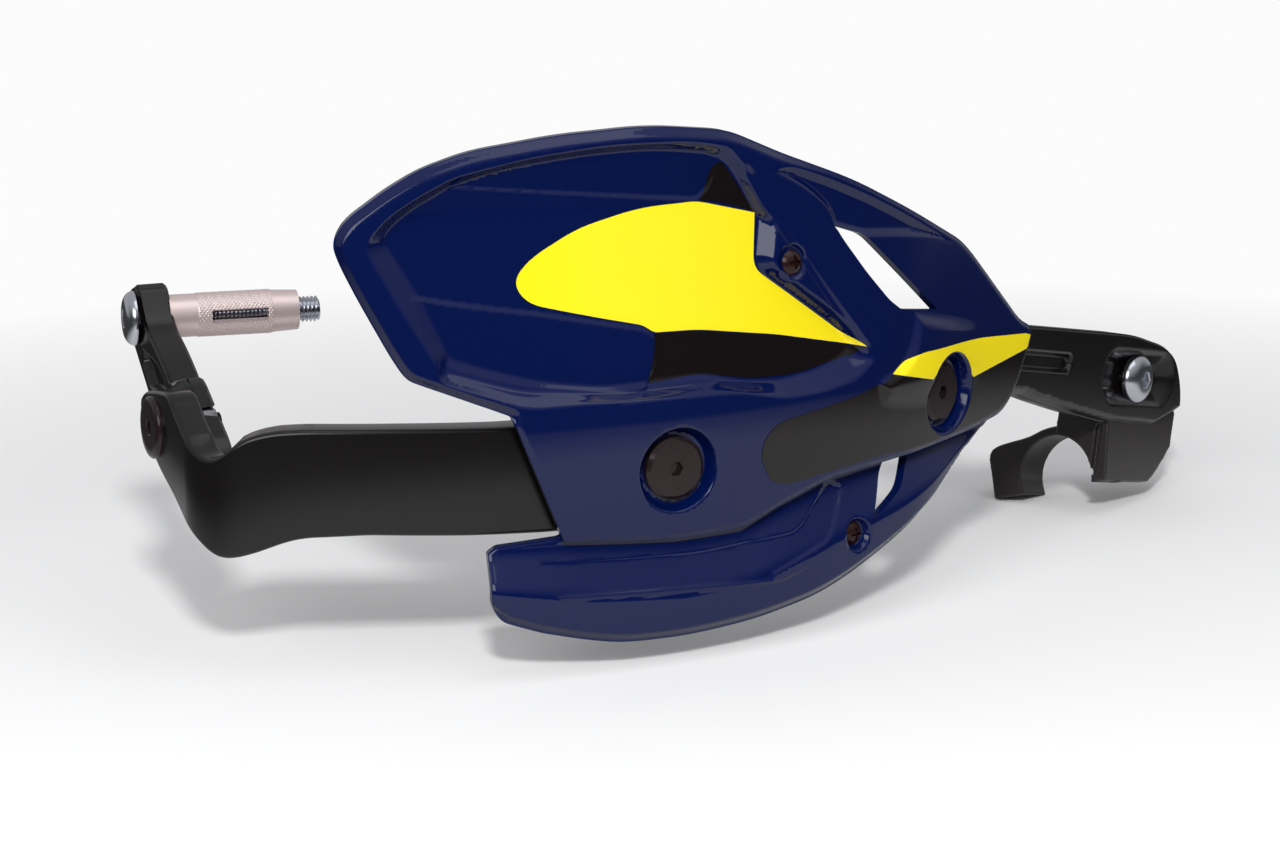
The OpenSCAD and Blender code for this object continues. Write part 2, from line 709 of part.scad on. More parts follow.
// Decals: thin skins that lie on the mouldings' own front surfaces
module decal(outline, d) {
    intersection() {
        children();
        front_prism(front_view(outline, d));
    }
}

module wing_skin() {
    skin([for (c = wing_columns) wing_column(c, decal_t, 1)],
         [for (c = wing_columns) wing_column(c, 0, 1)]);
}

module body_skin() {
    skin([for (s = body_stations) body_column(s, decal_t)],
         [for (s = body_stations) body_column(s, 0)]);
}

// Stretch of the ring round the inner shield bolt, where a decal is cut out
function ring(from, to, n) = arc(inner_bolt, recess_d / 2 + 2 * clear, from, to, n);

module wing_decal_yellow() {
    color([0.93, 0.88, 0.1]) decal([
        [61, 45], [41, 45], [21, 40], [7, 33], [1, 27], [3, 22], [8, 19], [40, 11], [43, 10],
        [103, -3], [97, 8], [78, 23], [80, 38]], crest(25) - wing_depth) wing_skin();
}

module wing_decal_black() {
    color([0.1, 0.09, 0.1]) {
        decal([[43, 9.6], [40, -2], [58, -3], [86, -4], [105, -4], [103, -3.4]],
            crest(5) - wing_depth) wing_skin();
        decal([[69, 53], [66, 53], [61.5, 45.3], [79.5, 38.3]], crest(45) - wing_depth) wing_skin();
    }
}

module band_decal_black() {
    color([0.1, 0.09, 0.1]) {
        decal([[76, -32], [77, -28], [83, -21.5], [92, -20], [112, -17.5], [125, -16.2],
               each ring(145, 245, 6), [142, -37], [124, -38], [87, -39.5], [81, -37.5]],
            shield_front) body_skin();
        decal([[203, -21.9], [198, -31], [192, -35], each ring(-65, 10, 6)],
            shield_front) body_skin();
    }
}

module band_decal_yellow() {
    color([0.93, 0.88, 0.1]) {
        decal([[131, -11.5], [137, -9.3], [156, -9.3], each ring(96, 142, 4), [126, -15.9]],
            shield_front + 2) body_skin();
        decal([[156.2, -9.3], [170, -9.2], [203, -14.1], [202, -21.4], each ring(13, 95, 5)],
            shield_front + 2) body_skin();
    }
}

guard_bar();
bar_end_arm();
anchor_bolt();
anchor_sleeve();
anchor_wedge();
pivot_bolt();
pivot_nut();
clamp_bracket();
clamp_bolt();
clamp_washer();
clamp_nut();
upper_shield();
lower_deflector();
shield_bolt(outer_bolt);  // outer_shield_bolt
shield_bolt(inner_bolt);  // inner_shield_bolt
shield_bush(outer_bolt);  // outer_shield_bush
shield_bush(inner_bolt);  // inner_shield_bush
shield_nut(outer_bolt);  // outer_shield_nut
shield_nut(inner_bolt);  // inner_shield_nut
at_pad() small_screw();  // wing_screw
on_curve(tab_screw_at, defl_front + tab_face) small_screw();  // tab_screw
at_pad() translate([0, pad_depth, 0]) spring_clip();  // wing_clip
on_curve(tab_screw_at, defl_front + tab_back) spring_clip();  // tab_clip
wing_decal_yellow();
wing_decal_black();
band_decal_yellow();
band_decal_black();
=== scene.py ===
"""Looks of a motorcycle hand guard: a black bar with a bar-end anchor and an inner clamp,
and a glossy blue shield in two mouldings with plain yellow and black decals."""

import json
import math

import bmesh
import bpy
import numpy as np
from bpy.props import FloatProperty, FloatVectorProperty, PointerProperty
from mathutils import Matrix, Vector
from mathutils.geometry import delaunay_2d_cdt
from mathutils.kdtree import KDTree


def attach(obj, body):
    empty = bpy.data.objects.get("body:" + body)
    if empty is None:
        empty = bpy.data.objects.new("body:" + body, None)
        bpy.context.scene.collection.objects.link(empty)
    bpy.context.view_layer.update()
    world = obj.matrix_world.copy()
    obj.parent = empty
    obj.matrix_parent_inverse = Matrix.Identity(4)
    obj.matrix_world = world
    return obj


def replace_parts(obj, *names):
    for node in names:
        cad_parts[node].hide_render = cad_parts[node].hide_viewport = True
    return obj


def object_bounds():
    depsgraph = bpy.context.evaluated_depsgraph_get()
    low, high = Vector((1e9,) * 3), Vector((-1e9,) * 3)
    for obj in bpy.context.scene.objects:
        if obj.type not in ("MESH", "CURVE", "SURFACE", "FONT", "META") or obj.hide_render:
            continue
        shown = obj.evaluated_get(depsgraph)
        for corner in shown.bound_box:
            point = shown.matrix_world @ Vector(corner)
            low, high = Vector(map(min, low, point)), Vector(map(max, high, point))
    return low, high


bl_info = {
    "name": "Motorcycle hand guard",
    "version": (1, 0, 0),
    "blender": (4, 5, 0),
    "location": "View3D > Sidebar > Hand guard",
    "description": "Dresses the hand guard's frame with its mouldings, decals and finishes",
    "category": "Object",
}

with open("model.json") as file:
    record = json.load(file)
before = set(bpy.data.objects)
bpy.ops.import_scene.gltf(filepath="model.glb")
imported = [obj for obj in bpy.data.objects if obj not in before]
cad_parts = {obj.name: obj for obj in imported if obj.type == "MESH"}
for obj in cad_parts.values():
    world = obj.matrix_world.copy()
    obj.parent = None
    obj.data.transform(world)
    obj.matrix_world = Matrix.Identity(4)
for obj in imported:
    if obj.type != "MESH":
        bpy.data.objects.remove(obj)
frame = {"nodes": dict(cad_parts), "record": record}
CAD_LOW, CAD_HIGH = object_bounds()

# Working lengths are in millimetres; meshes are made in metres
MM = 0.001

# The curve that the guard follows, in plan
GUARD_RADIUS = 240
GUARD_APEX = 78
CURVE_CENTRE_Y = 126
INNER_ANGLE = math.radians(38)
STRAIGHT_FROM = GUARD_RADIUS * INNER_ANGLE

# Bolts and screws on the curve: place along it and height
OUTER_BOLT = (48, -31)
INNER_BOLT = (157.5, -24)
WING_SCREW = (91, 25)
TAB_SCREW = (113, -60)
RECESS_RADIUS = 12.5
RECESS_FLOOR = -1.1
BUSH_HOLE = 5.5

# Wing: height of its foot, lean to the rear for each mm of height, its front, and the
# depth of its dish
WING_FOOT = -11.5
WING_LEAN = 0.15
WING_FRONT = 4.0
DISH_DEPTH = 5.0


def on_curve(s, d, z):
    """Points in metres from arc length, distance in front of the curve, and height."""
    angle = np.minimum(s / GUARD_RADIUS, INNER_ANGLE)
    run = np.maximum(s - STRAIGHT_FROM, 0)
    radius = GUARD_RADIUS + d
    x = GUARD_APEX + radius * np.sin(angle) + run * np.cos(angle)
    y = CURVE_CENTRE_Y - radius * np.cos(angle) + run * np.sin(angle)
    return np.stack([x, y, z], axis=-1) * MM


# Lines and areas: points are pairs of place and height
def rounded(corners, closed=True, steps=5):
    """Line through the corners, each rounded by its own third value."""
    points = []
    count = len(corners)
    for i, corner in enumerate(corners):
        here = np.array(corner[:2], float)
        radius = corner[2] if len(corner) > 2 else 0
        inner = closed or 0 < i < count - 1
        if not radius or not inner:
            points.append(here)
            continue
        before = np.array(corners[i - 1][:2], float)
        after = np.array(corners[(i + 1) % count][:2], float)
        ends = []
        for other in (before, after):
            length = np.linalg.norm(other - here)
            ends.append(here + (other - here) * min(radius / length, 0.48))
        for k in range(steps + 1):
            t = k / steps
            points.append((1 - t) ** 2 * ends[0] + 2 * t * (1 - t) * here + t * t * ends[1])
    return np.array(points)


def spaced(line, step, closed=True):
    """The same line with points no further apart than step."""
    ends = np.roll(line, -1, axis=0) if closed else line[1:]
    points = []
    for a, b in zip(line, ends):
        count = max(1, round(float(np.linalg.norm(b - a)) / step))
        points.extend(a + (b - a) * i / count for i in range(count))
    if not closed:
        points.append(line[-1])
    return np.array(points)


def ring(centre, radius, count=48):
    """A circle as a closed line of that many points."""
    angles = np.arange(count) * 2 * np.pi / count
    return np.stack([centre[0] + radius * np.cos(angles),
                     centre[1] + radius * np.sin(angles)], axis=-1)


def shifted(line, width, closed=True):
    """The line moved sideways by width, to the left of its own direction."""
    if closed:
        before, after = np.roll(line, 1, axis=0), np.roll(line, -1, axis=0)
    else:
        before, after = np.vstack([line[:1], line[:-1]]), np.vstack([line[1:], line[-1:]])
    run = after - before
    run /= np.maximum(np.linalg.norm(run, axis=1), 1e-9)[:, None]
    side = np.stack([-run[:, 1], run[:, 0]], axis=-1)
    width = np.broadcast_to(width, len(line))
    beside = line + side * width[:, None]
    return beside[distance(beside, line, closed) > np.abs(width) * 0.97]


def inset(corners, width):
    """The corners' rounded line moved inwards by width, a number or a function."""
    line = rounded(corners)
    after = np.roll(line, -1, axis=0)
    area = np.sum(line[:, 0] * after[:, 1] - after[:, 0] * line[:, 1])
    width = width(line) if callable(width) else width
    return shifted(line, width if area > 0 else -width)


def ramp_lines(corners, width, corner=0.2):
    """Lines where the ramp inside an outline ends and where its roundings end."""
    line = rounded(corners)
    wide = width(line) if callable(width) else width
    return [inset(corners, lambda line, t=t: t * wide) for t in (corner, 1 - corner, 1)]


def slope_lines(outer, inner, corner):
    """Lines where the roundings of the slope between two outlines end."""
    rim, foot = rounded(outer), rounded(inner)
    return [inset(outer, lambda line: corner * distance(line, foot)),
            inset(inner, lambda line: -corner * distance(line, rim))]


def distance(points, line, closed=True):
    """Distance of each point to a line."""
    best = np.full(len(points), 1e9)
    ends = np.roll(line, -1, axis=0) if closed else line[1:]
    for a, b in zip(line, ends):
        run = b - a
        length = run @ run
        if length < 1e-9:
            continue
        t = np.clip((points - a) @ run / length, 0, 1)
        gap = points - (a + t[:, None] * run)
        best = np.minimum(best, gap[:, 0] ** 2 + gap[:, 1] ** 2)
    return np.sqrt(best)


def inside(points, line):
    """Whether each point is inside a closed line."""
    result = np.zeros(len(points), bool)
    x, y = points[:, 0], points[:, 1]
    for (x0, y0), (x1, y1) in zip(line, np.roll(line, -1, axis=0)):
        if y0 == y1:
            continue
        crossed = (y0 > y) != (y1 > y)
        result ^= crossed & (x < (x1 - x0) * (y - y0) / (y1 - y0) + x0)
    return result


def eased(t, corner):
    """A straight ramp from 0 to 1 with both its ends rounded over that share of it."""
    t = np.clip(t, 0, 1)
    if corner <= 0:
        return t
    slope = 1 / (1 - corner)
    low = slope * t * t / (2 * corner)
    high = 1 - slope * (1 - t) ** 2 / (2 * corner)
    return np.where(t < corner, low, np.where(t > 1 - corner, high, slope * (t - corner / 2)))


def fade(value, start, end):
    """0 at start, 1 at end, smooth between them."""
    t = np.clip((value - start) / (end - start), 0, 1)
    return t * t * (3 - 2 * t)


def over(value, blend):
    """The value where it is positive, with the bend at zero blended."""
    curved = (value + blend) ** 2 / (4 * blend)
    return np.where(value > blend, value, np.where(value < -blend, 0, curved))


def between(points, outer, inner, corner=0.15):
    """0 outside the outer line, 1 inside the inner line, a ramp from one to the other."""
    a = distance(points, outer)
    b = distance(points, inner)
    t = a / np.maximum(a + b, 1e-6)
    t[~inside(points, outer)] = 0
    t[inside(points, inner)] = 1
    return eased(t, corner)


def within(points, line, width, corner=0.2):
    """0 outside the line, 1 further than width inside it."""
    t = distance(points, line) / width
    t[~inside(points, line)] = 0
    return eased(t, corner)


# Outline of the upper moulding: place along the curve, height, rounding
UPPER_OUTLINE = [
    (-52.4, 39, 5), (-49, 45, 4), (-37, 53.2, 4), (-27, 58.6, 5), (-12, 63.3, 6), (15, 66.8, 8),
    (45, 68, 10), (72, 65, 6), (92, 56.6, 5), (120, 46, 8), (145, 34.4, 8), (171, 21.6, 4),
    (177, 16.6, 4), (201, -8, 4), (206.5, -10.5, 1.5), (208, -13, 1), (198, -31, 4),
    (191, -36.4, 4), (172, -38.4, 4), (128, -40, 4), (119, -40.2, 3), (103, -41, 5),
    (86, -45.8, 4), (72, -51.4, 5), (49, -52, 6), (13, -49.2, 1.2), (-2.6, -11.2, 1),
    (-20, -4.4, 4), (-27.5, -1.6, 3), (-32, 0.2, 3), (-36, 6.2, 4), (-45.7, 23.6, 6),
    (-51, 34, 5)]
UPPER_VENT = [
    (108.8, 33.9, 0.6), (119.9, 30.3, 1.5), (122.8, 28.4, 1.5), (152.7, 2.8, 0.5),
    (134.8, 5.5, 0.8), (129.5, 9.2, 2), (120.9, 18.2, 4), (111.7, 29.5, 3)]

# Dish of the wing: the lip's inner edge, the foot of its slope, and the same for the
# gentle rise behind the bright ledge at the bottom
LIP_EDGE = [
    (-24.2, 4.8, 2), (-27.5, 10.1, 3), (-34.8, 21.8, 4), (-40.6, 32.2, 3), (-44, 38.8, 3.5),
    (-36.2, 46.4, 3), (-27.9, 51.4, 3), (-17.5, 56.6, 4), (6.3, 61.4, 5), (30, 63.9, 8),
    (58, 63.4, 6), (72, 60.6, 2.5)]
SLOPE_FOOT = [
    (-19.2, 6.6, 1.5), (-26.8, 22.9, 1), (-32.5, 31.7, 3), (-37.6, 39.6, 4), (-30, 46.6, 5),
    (-15.9, 54.4, 3), (-1.4, 57.8, 5), (20, 60.2, 8), (45, 60.8, 8), (65.2, 58.2, 3)]
STRUT_LEFT = [
    (75, 56.5, 2), (78.1, 50.3, 2), (83.4, 40.8, 2), (88.2, 36.6, 2), (98.1, 23.7, 5),
    (107.7, 10.3, 5), (117.3, -1.9, 3)]
STRUT_FOOT = [
    (71.4, 55.0, 2), (76.5, 48.6, 2), (81.2, 40.0, 2), (86, 34.6, 2), (95.7, 22.2, 5),
    (105.4, 8.6, 5), (114, -3.2, 3)]
STRUT_END = [(121.5, -7.5, 3), (113, -13.4, 4), (98, -14.8, 5), (84, -14.6, 4)]
DISH_RIM = LIP_EDGE + STRUT_LEFT + STRUT_END + [
    (68, -10.5, 4), (39, -9.4, 5), (20.6, -8.9, 5), (2, -9.6, 4), (-9.5, -5.9, 4),
    (-23, -0.8, 2)]
DISH_FLOOR = SLOPE_FOOT + STRUT_FOOT + [
    (101, -7.6, 4), (86, -9, 4), (72.7, -8.2, 3), (59.5, -6.4, 5), (43, -7, 6),
    (27.5, -7.1, 6), (0.2, -3.6, 5), (-15.9, 1, 3), (-20.4, 2.2, 1.5)]
RISE_RIM = LIP_EDGE + STRUT_LEFT + STRUT_END + [
    (68, -9.5, 4), (59.5, -6.4, 3), (43, -7, 6), (27.5, -7.1, 6), (0.2, -3.6, 5),
    (-15.9, 1, 3), (-22.2, 2.9, 1.5)]
RISE_FLOOR = SLOPE_FOOT + STRUT_FOOT + [
    (101, -7.4, 4), (86, -8.8, 4), (72.7, -7.6, 3), (56.4, -3.8, 5), (38.5, -4.6, 5),
    (25.4, -4.9, 5), (8.7, -2.6, 5), (-9.6, 2.6, 4), (-17, 5.2, 2)]

# Sunk panel along the top of the dish, raised panel along its lower left
TOP_PANEL = [
    (-19.5, 53.1), (20.9, 49.3, 8), (61.3, 45.0, 2), (66.5, 49, 3), (70, 60, 1), (45, 64, 8),
    (15, 62.5, 8), (-5, 59.5, 4)]
LOW_PANEL = [
    (-30, 23.5), (-26.2, 22.6, 1), (-15, 20.6, 4), (8.2, 17.0, 6), (40.7, 10.4, 2),
    (44.2, 7.6, 2), (43.5, 0, 3), (39.5, -7.5, 2), (27.5, -9, 4), (0.2, -6, 4), (-20, 0, 3),
    (-26, 6, 2)]

# Width of the steps round those panels and the frame's, and how deep or high each is
TOP_RAMP = 1.2
LOW_RAMP = 0.9
FRAME_RAMP = 3.0
TOP_STEP = 0.9
LOW_STEP = 0.55
FRAME_STEP = 1.7

# Height of the rise, depth of the pad under the front, how far and how wide the strut
# falls from its crest, and height of the shoulder
RISE_HEIGHT = 1.1
PAD_DEPTH = 0.5
CREST_FALL = 1.4
CREST_WIDTH = 4.2
SHOULDER_HEIGHT = 1.8

# Width of the sloping walls of the bolts' recesses, and the small screw's seat: its
# radius, its depth and the width of its wall
RECESS_WALL = 1.9
SEAT_RADIUS = 5.4
SEAT_DEPTH = 0.8
SEAT_WALL = 0.8

# Below this height the band falls back, by this much at its foot
BAND_FALL_FROM = -16
BAND_FALL = 2.2

# Pad of the small screw beside the strut
PAD = [
    (83.4, 41.6, 1), (80.3, 26.2, 2), (81.6, 22.7, 2), (113, 0.8, 3), (117, -5.5, 1),
    (124, -5, 1), (100, 30, 1), (90, 40, 1)]
PAD_FACE = [
    (87.6, 38.2, 1), (84.2, 26.6, 1), (85.0, 24.4, 1.5), (112.4, 4.6, 3), (119.5, -4, 1),
    (123, -4.5, 0.5), (99, 30, 1), (90.5, 39, 0.5)]

# Crest of the strut, and the sunk three-cornered panel of the frame inboard of it
STRUT_CREST = [
    (79.8, 56.5), (83.0, 50.8, 4), (88.6, 40.5, 3), (92.6, 34.0, 4), (101.5, 21.1, 6),
    (111.4, 8.5, 6), (119.8, -2), (124, -9)]
FRAME_PANEL = [
    (84.2, 52.6, 0.8), (93.7, 48.1, 4), (100.6, 43.8, 3), (105.2, 40.0, 3), (107.6, 37, 2),
    (108.6, 32.6, 0.5), (119.9, 29.2, 1), (122.6, 28.6, 0.5), (138.4, 26.8, 6),
    (157, 23.8, 3), (167.5, 20.8, 1), (161.4, 24.2, 2), (143.4, 33.0, 8), (125.7, 41.2, 8),
    (108.8, 48.1, 8), (94.2, 53.2, 4)]

# Raised shoulder where the strut runs into the band
SHOULDER = [
    (120, -13.5, 1), (129, -10.8, 2), (135.4, -6.5, 3), (138.6, 0, 3), (140, 4.6, 1),
    (150, 2, 2), (185, -6, 4), (203, -11, 2), (199, -28, 2), (150, -30, 5), (122, -22, 3)]


# The upper moulding's feature lines, rounded; crest_side closes the crest's line round the
# wing, to tell the two sides of the crest apart
CREST_LINE = rounded(STRUT_CREST, closed=False)
UPPER_LINES = {
    "outline": rounded(UPPER_OUTLINE), "rim": rounded(DISH_RIM), "floor": rounded(DISH_FLOOR),
    "rise_rim": rounded(RISE_RIM), "rise_floor": rounded(RISE_FLOOR),
    "top_panel": rounded(TOP_PANEL), "low_panel": rounded(LOW_PANEL), "pad": rounded(PAD),
    "pad_face": rounded(PAD_FACE), "crest": CREST_LINE,
    "crest_side": np.vstack([CREST_LINE, [(60, -30), (0, -30), (0, 80), (76, 80)]]),
    "frame_panel": rounded(FRAME_PANEL), "shoulder": rounded(SHOULDER)}


def wing_edge(points):
    """1 round the wing's rim and 0 elsewhere, where the edge is only rounded."""
    return (1 - fade(points[:, 0], 86, 112)) * fade(points[:, 1], -14, -9)


def edge_width(points):
    """Width of the upper moulding's rounded edge, which is broad round the wing."""
    return 1.6 + 1.2 * wing_edge(points)


def upper_front(points):
    """Distance of the upper moulding's front from the curve."""
    s, z = points[:, 0], points[:, 1]
    lines = UPPER_LINES
    d = WING_FRONT - WING_LEAN * over(z - WING_FOOT, 5)
    d -= BAND_FALL * (over(BAND_FALL_FROM - z, 5) / 36) ** 2
    left = fade(s, 60, 66) * (1 - fade(z, 51, 57)) * fade(z, -9, -3)
    crest_gap = distance(points, lines["crest"], closed=False) / CREST_WIDTH
    crest_gap[~inside(points, lines["crest_side"])] = 0
    dish = between(points, lines["rim"], lines["floor"], 0.2)
    rise = between(points, lines["rise_rim"], lines["rise_floor"], 0.3)
    d -= CREST_FALL * left * eased(crest_gap, 0.25) * (1 - dish)
    floor = np.full(len(s), DISH_DEPTH - RISE_HEIGHT)
    floor += TOP_STEP * within(points, lines["top_panel"], TOP_RAMP)
    floor -= LOW_STEP * within(points, lines["low_panel"], LOW_RAMP)
    pad = between(points, lines["pad"], lines["pad_face"], 0.1)
    floor = floor * (1 - pad) + PAD_DEPTH * pad
    shallow = 1 - 0.45 * fade(z, 42, 62)
    d -= shallow * (floor * dish + RISE_HEIGHT * rise * (1 - pad))
    d -= FRAME_STEP * within(points, lines["frame_panel"], FRAME_RAMP)
    raised = within(points, lines["shoulder"], 4.5, 0.35) * (1 - fade(s, 142, 178))
    d += SHOULDER_HEIGHT * raised * fade(z, -26, -16)
    edge = distance(points, lines["outline"])
    edge[~inside(points, lines["outline"])] *= -1
    share = edge / edge_width(points)
    d -= (0.6 + 2.0 * wing_edge(points)) * (1 - eased(share, 0.2))
    for bolt in (OUTER_BOLT, INNER_BOLT):
        gap = np.hypot(s - bolt[0], z - bolt[1])
        sunk = eased((RECESS_RADIUS + 0.3 - gap) / RECESS_WALL, 0.25)
        d = d * (1 - sunk) + RECESS_FLOOR * sunk
    gap = np.hypot(s - WING_SCREW[0], z - WING_SCREW[1])
    return d - SEAT_DEPTH * eased((SEAT_RADIUS - gap) / SEAT_WALL, 0.2)


def upper_folds():
    """Lines that the upper moulding's mesh follows, so that its steps are clean."""
    lines = UPPER_LINES
    folds = [line for name, line in lines.items()
             if name not in ("outline", "crest_side", "shoulder")]
    for outline, width in ((TOP_PANEL, TOP_RAMP), (LOW_PANEL, LOW_RAMP),
                           (FRAME_PANEL, FRAME_RAMP), (UPPER_OUTLINE, edge_width)):
        folds += ramp_lines(outline, width)
    folds += slope_lines(DISH_RIM, DISH_FLOOR, 0.2)
    folds += slope_lines(RISE_RIM, RISE_FLOOR, 0.3)
    folds += slope_lines(PAD, PAD_FACE, 0.1)
    folds += [shifted(lines["crest"], -width, closed=False)
              for width in (1.05, 3.15, CREST_WIDTH)]
    for bolt in (OUTER_BOLT, INNER_BOLT):
        folds += [ring(bolt, radius, 72) for radius in (10.9, 11.4, 12.3, 12.8)]
    return folds + [ring(WING_SCREW, radius) for radius in (4.6, 4.8, 5.2, SEAT_RADIUS)]


# Lower deflector: outline, vent and the lines of its step
LOWER_OUTLINE = [
    (-8.8, -52, 0.6), (-6.2, -50.2, 1), (13, -48.8, 1), (20, -44, 2), (60, -43, 3),
    (83, -39, 3), (120, -34, 3), (190, -31.5, 0.6), (192.6, -38.6, 1), (184, -43, 6),
    (151, -57, 8), (131, -65.2, 8), (109, -73.2, 8), (95, -77, 8), (76, -80, 8),
    (51, -81.6, 8), (31, -81.2, 6), (20, -79.2, 5), (7, -76, 5), (-6, -71.4, 2.5),
    (-9, -66, 2)]
LOWER_VENT = [
    (131.4, -37), (131, -41, 1), (118.2, -57.4, 0.4), (120.5, -56, 1.5), (134, -50, 3),
    (142, -43.4, 2), (145, -37)]
STEP_PANEL = [
    (5.6, -55.4, 0.6), (57, -57.6, 8), (91, -55.6, 4), (106.4, -43, 0.6), (112, -46, 1),
    (101, -60, 3), (80, -66.6, 0.6), (79.4, -68.4, 0.4), (49, -66.6, 10), (10.2, -65.2, 0.6)]
TURN_LINE = [
    (-20, -71), (4.4, -70.4, 1), (11, -69.2, 1), (10.4, -65.2, 0.4), (49, -66.8, 10),
    (79.4, -68.6, 0.4), (84, -68.4, 1), (98, -64.6, 5), (106, -66.6, 2), (119.6, -57.8, 1),
    (135, -54, 6), (160, -46.6, 8), (196, -34)]
LOWER_LINES = {
    "outline": rounded(LOWER_OUTLINE), "panel": rounded(STEP_PANEL),
    "turn": np.vstack([rounded(TURN_LINE, closed=False), [(196, -95), (-20, -95)]])}

# Its front at the top and how far it comes forward below, the steps' depths and widths,
# and the seat of its screw: how far forward, its radius and the width of its wall
LOWER_TOP = -1.8
LOWER_REACH = 6.6
PANEL_STEP = 0.45
PANEL_RAMP = 0.7
TURN_STEP = 0.5
TURN_RAMP = 0.8
TAB_SEAT = 1.8
TAB_RADIUS = 5.2
TAB_WALL = 1.6


def lower_share(points):
    """Height of the deflector, and each point's share of it from the top."""
    s, z = points[:, 0], points[:, 1]
    top = np.interp(s, [-9, 13, 49, 72, 86, 103, 120, 190],
                    [-51, -50.5, -53, -53, -47.5, -43, -42, -40])
    low = np.interp(s, [-9, 20, 51, 95, 131, 151, 184, 193],
                    [-70, -79, -81.6, -77, -65, -57, -43, -39])
    return top - low, np.clip((top - z) / np.maximum(top - low, 1), 0, 1)


def lower_edge(points):
    """Width of the deflector's rounded edge, which is broad along its foot."""
    return 0.9 + 2.6 * fade(lower_share(points)[1], 0.75, 0.9)


def lower_front(points):
    """Distance of the lower deflector's front from the curve."""
    s, z = points[:, 0], points[:, 1]
    lines = LOWER_LINES
    tall, share = lower_share(points)
    reach = fade(tall, 2, 22)
    d = LOWER_TOP + LOWER_REACH * reach * eased(share / 0.62, 0.3)
    d -= PANEL_STEP * within(points, lines["panel"], PANEL_RAMP)
    turned_in = within(points, lines["turn"], TURN_RAMP)
    d -= TURN_STEP * turned_in * (1 - fade(s, 84, 100)) * fade(s, 6, 12)
    edge = distance(points, lines["outline"])
    under = fade(share, 0.75, 0.9)
    d -= (0.5 + 2.0 * under) * (1 - eased(edge / lower_edge(points), 0.3))
    gap = np.hypot(s - TAB_SCREW[0], z - TAB_SCREW[1])
    seat = eased((TAB_RADIUS - gap) / TAB_WALL, 0.3)
    return d * (1 - seat) + TAB_SEAT * seat


# Decals: closed outlines on the upper moulding, and how far they keep from a bolt's middle
DECAL_CLEAR = 13.2


def bolt_arc(start, end):
    """Corners of a decal's edge round the inner bolt's recess, between two angles."""
    return [(INNER_BOLT[0] + DECAL_CLEAR * math.cos(a),
             INNER_BOLT[1] + DECAL_CLEAR * math.sin(a))
            for a in np.radians(np.arange(start, end, 8))]


NOSE = [
    (61, 45, 3), (41, 44.6, 8), (21, 40, 6), (6, 32.4, 6), (0.2, 26, 6), (4.4, 19.6, 5),
    (25, 14.6, 5), (40, 11.2, 2), (43.4, 8.8, 1.5)]
DECALS = {
    "wing_decal_yellow": [NOSE + [
        (58, 8.4, 5), (86, 4, 5), (118, -3.2), (114.2, -0.4, 1), (80.9, 22.9, 2),
        (79.6, 25.9, 2), (81.6, 39.9)]],
    "wing_decal_black": [
        [(43.6, 8.5, 1), (43, 3, 3), (40.3, -5.4, 0.6), (57, -4.2, 5), (75, -7.6, 4),
         (92, -8.4, 5), (114.6, -5.4, 0.6), (117.6, -3.5, 0.3), (86, 3.7, 5), (58, 8.1, 5)],
        [(69.4, 56.4, 1.6), (66, 54, 3), (64, 47.6, 4), (61.4, 45.1, 1), (68, 44.6, 6),
         (81.7, 40.2, 0.3), (75.2, 49.2, 4)]],
    "band_decal_black": [
        [(75.4, -31, 3), (76.6, -25, 3), (82, -20.6, 3), (112, -17.2, 5), (125, -14.4, 4),
         (127, -13.1, 0.4), (145.1, -17.6)] + bolt_arc(152, 375) + [
            (171.2, -21.4), (205.4, -17.6, 0.3), (198.4, -30.2, 4), (190.6, -34.9, 4),
            (172, -36.6, 4), (142, -38.2, 4), (124, -37.4, 5), (104, -38.6, 5),
            (87, -40.2, 3), (79.6, -39, 3)]],
    "band_decal_yellow": [
        [(127.4, -12.8, 0.4), (133, -9.6, 2), (140, -8.2, 3), (163, -8.9, 5), (176, -9.6, 4),
         (203, -12.6, 1), (206.4, -13.6, 0.6), (205.6, -17.4, 0.3), (171.2, -21.2)]
        + bolt_arc(16, 152) + [(145.3, -17.2)]]}


# Guard bar: its front, its leg beside the arm, and the bend that joins them. Heights of
# its top and its bottom go by the distance along its outer side, which is LUG_END where
# the lug ends and BAR_END where the paddle begins
BAR_FRONT = -5
LEG_TURN = math.radians(7.8)
LUG_OUTSIDE = 23.3
BEND_RADIUS = 20
LUG_END = 33.4
BAR_TOP = [
    (33.4, -18.2), (34.4, -16.4), (36.3, -14.9), (39.5, -13.6), (50.2, -11.4), (60, -10.0),
    (62.4, -10.2), (64.2, -11.4), (67, -13.6), (73.8, -17.2), (78.4, -19.6), (82, -21.8),
    (85, -23.4), (88, -24.2), (91.2, -24.1), (94, -22.8), (97, -20.2), (100, -18.0),
    (104.2, -16.4), (110, -15.2), (118, -14.8), (145, -15.2), (174, -15.9), (212, -15.4),
    (280, -12), (326, -10.5), (372, -13.8)]
BAR_BOTTOM = [
    (33.4, -20.8), (34.6, -24.6), (38, -28.2), (43.9, -31.3), (53.8, -35.9), (65.6, -40.0),
    (73.2, -43.4), (80.2, -46.7), (86.2, -50.0), (90, -52.2), (92.8, -53.0), (97, -52.8),
    (101.6, -51.7), (106.8, -49.9), (112, -47.9), (117.7, -46.7), (136, -46.1), (165, -47.4),
    (190, -48.0), (231, -46), (280, -39), (326, -35), (372, -33.4)]
BAR_END = 372

# Rounding of the bar's edges and of the lug's end, and the bar's thickness by distance
BAR_EDGE = 1.5
LUG_EDGE = 1.4
BAR_THICK = [(33, 9), (78, 9), (94, 10)]


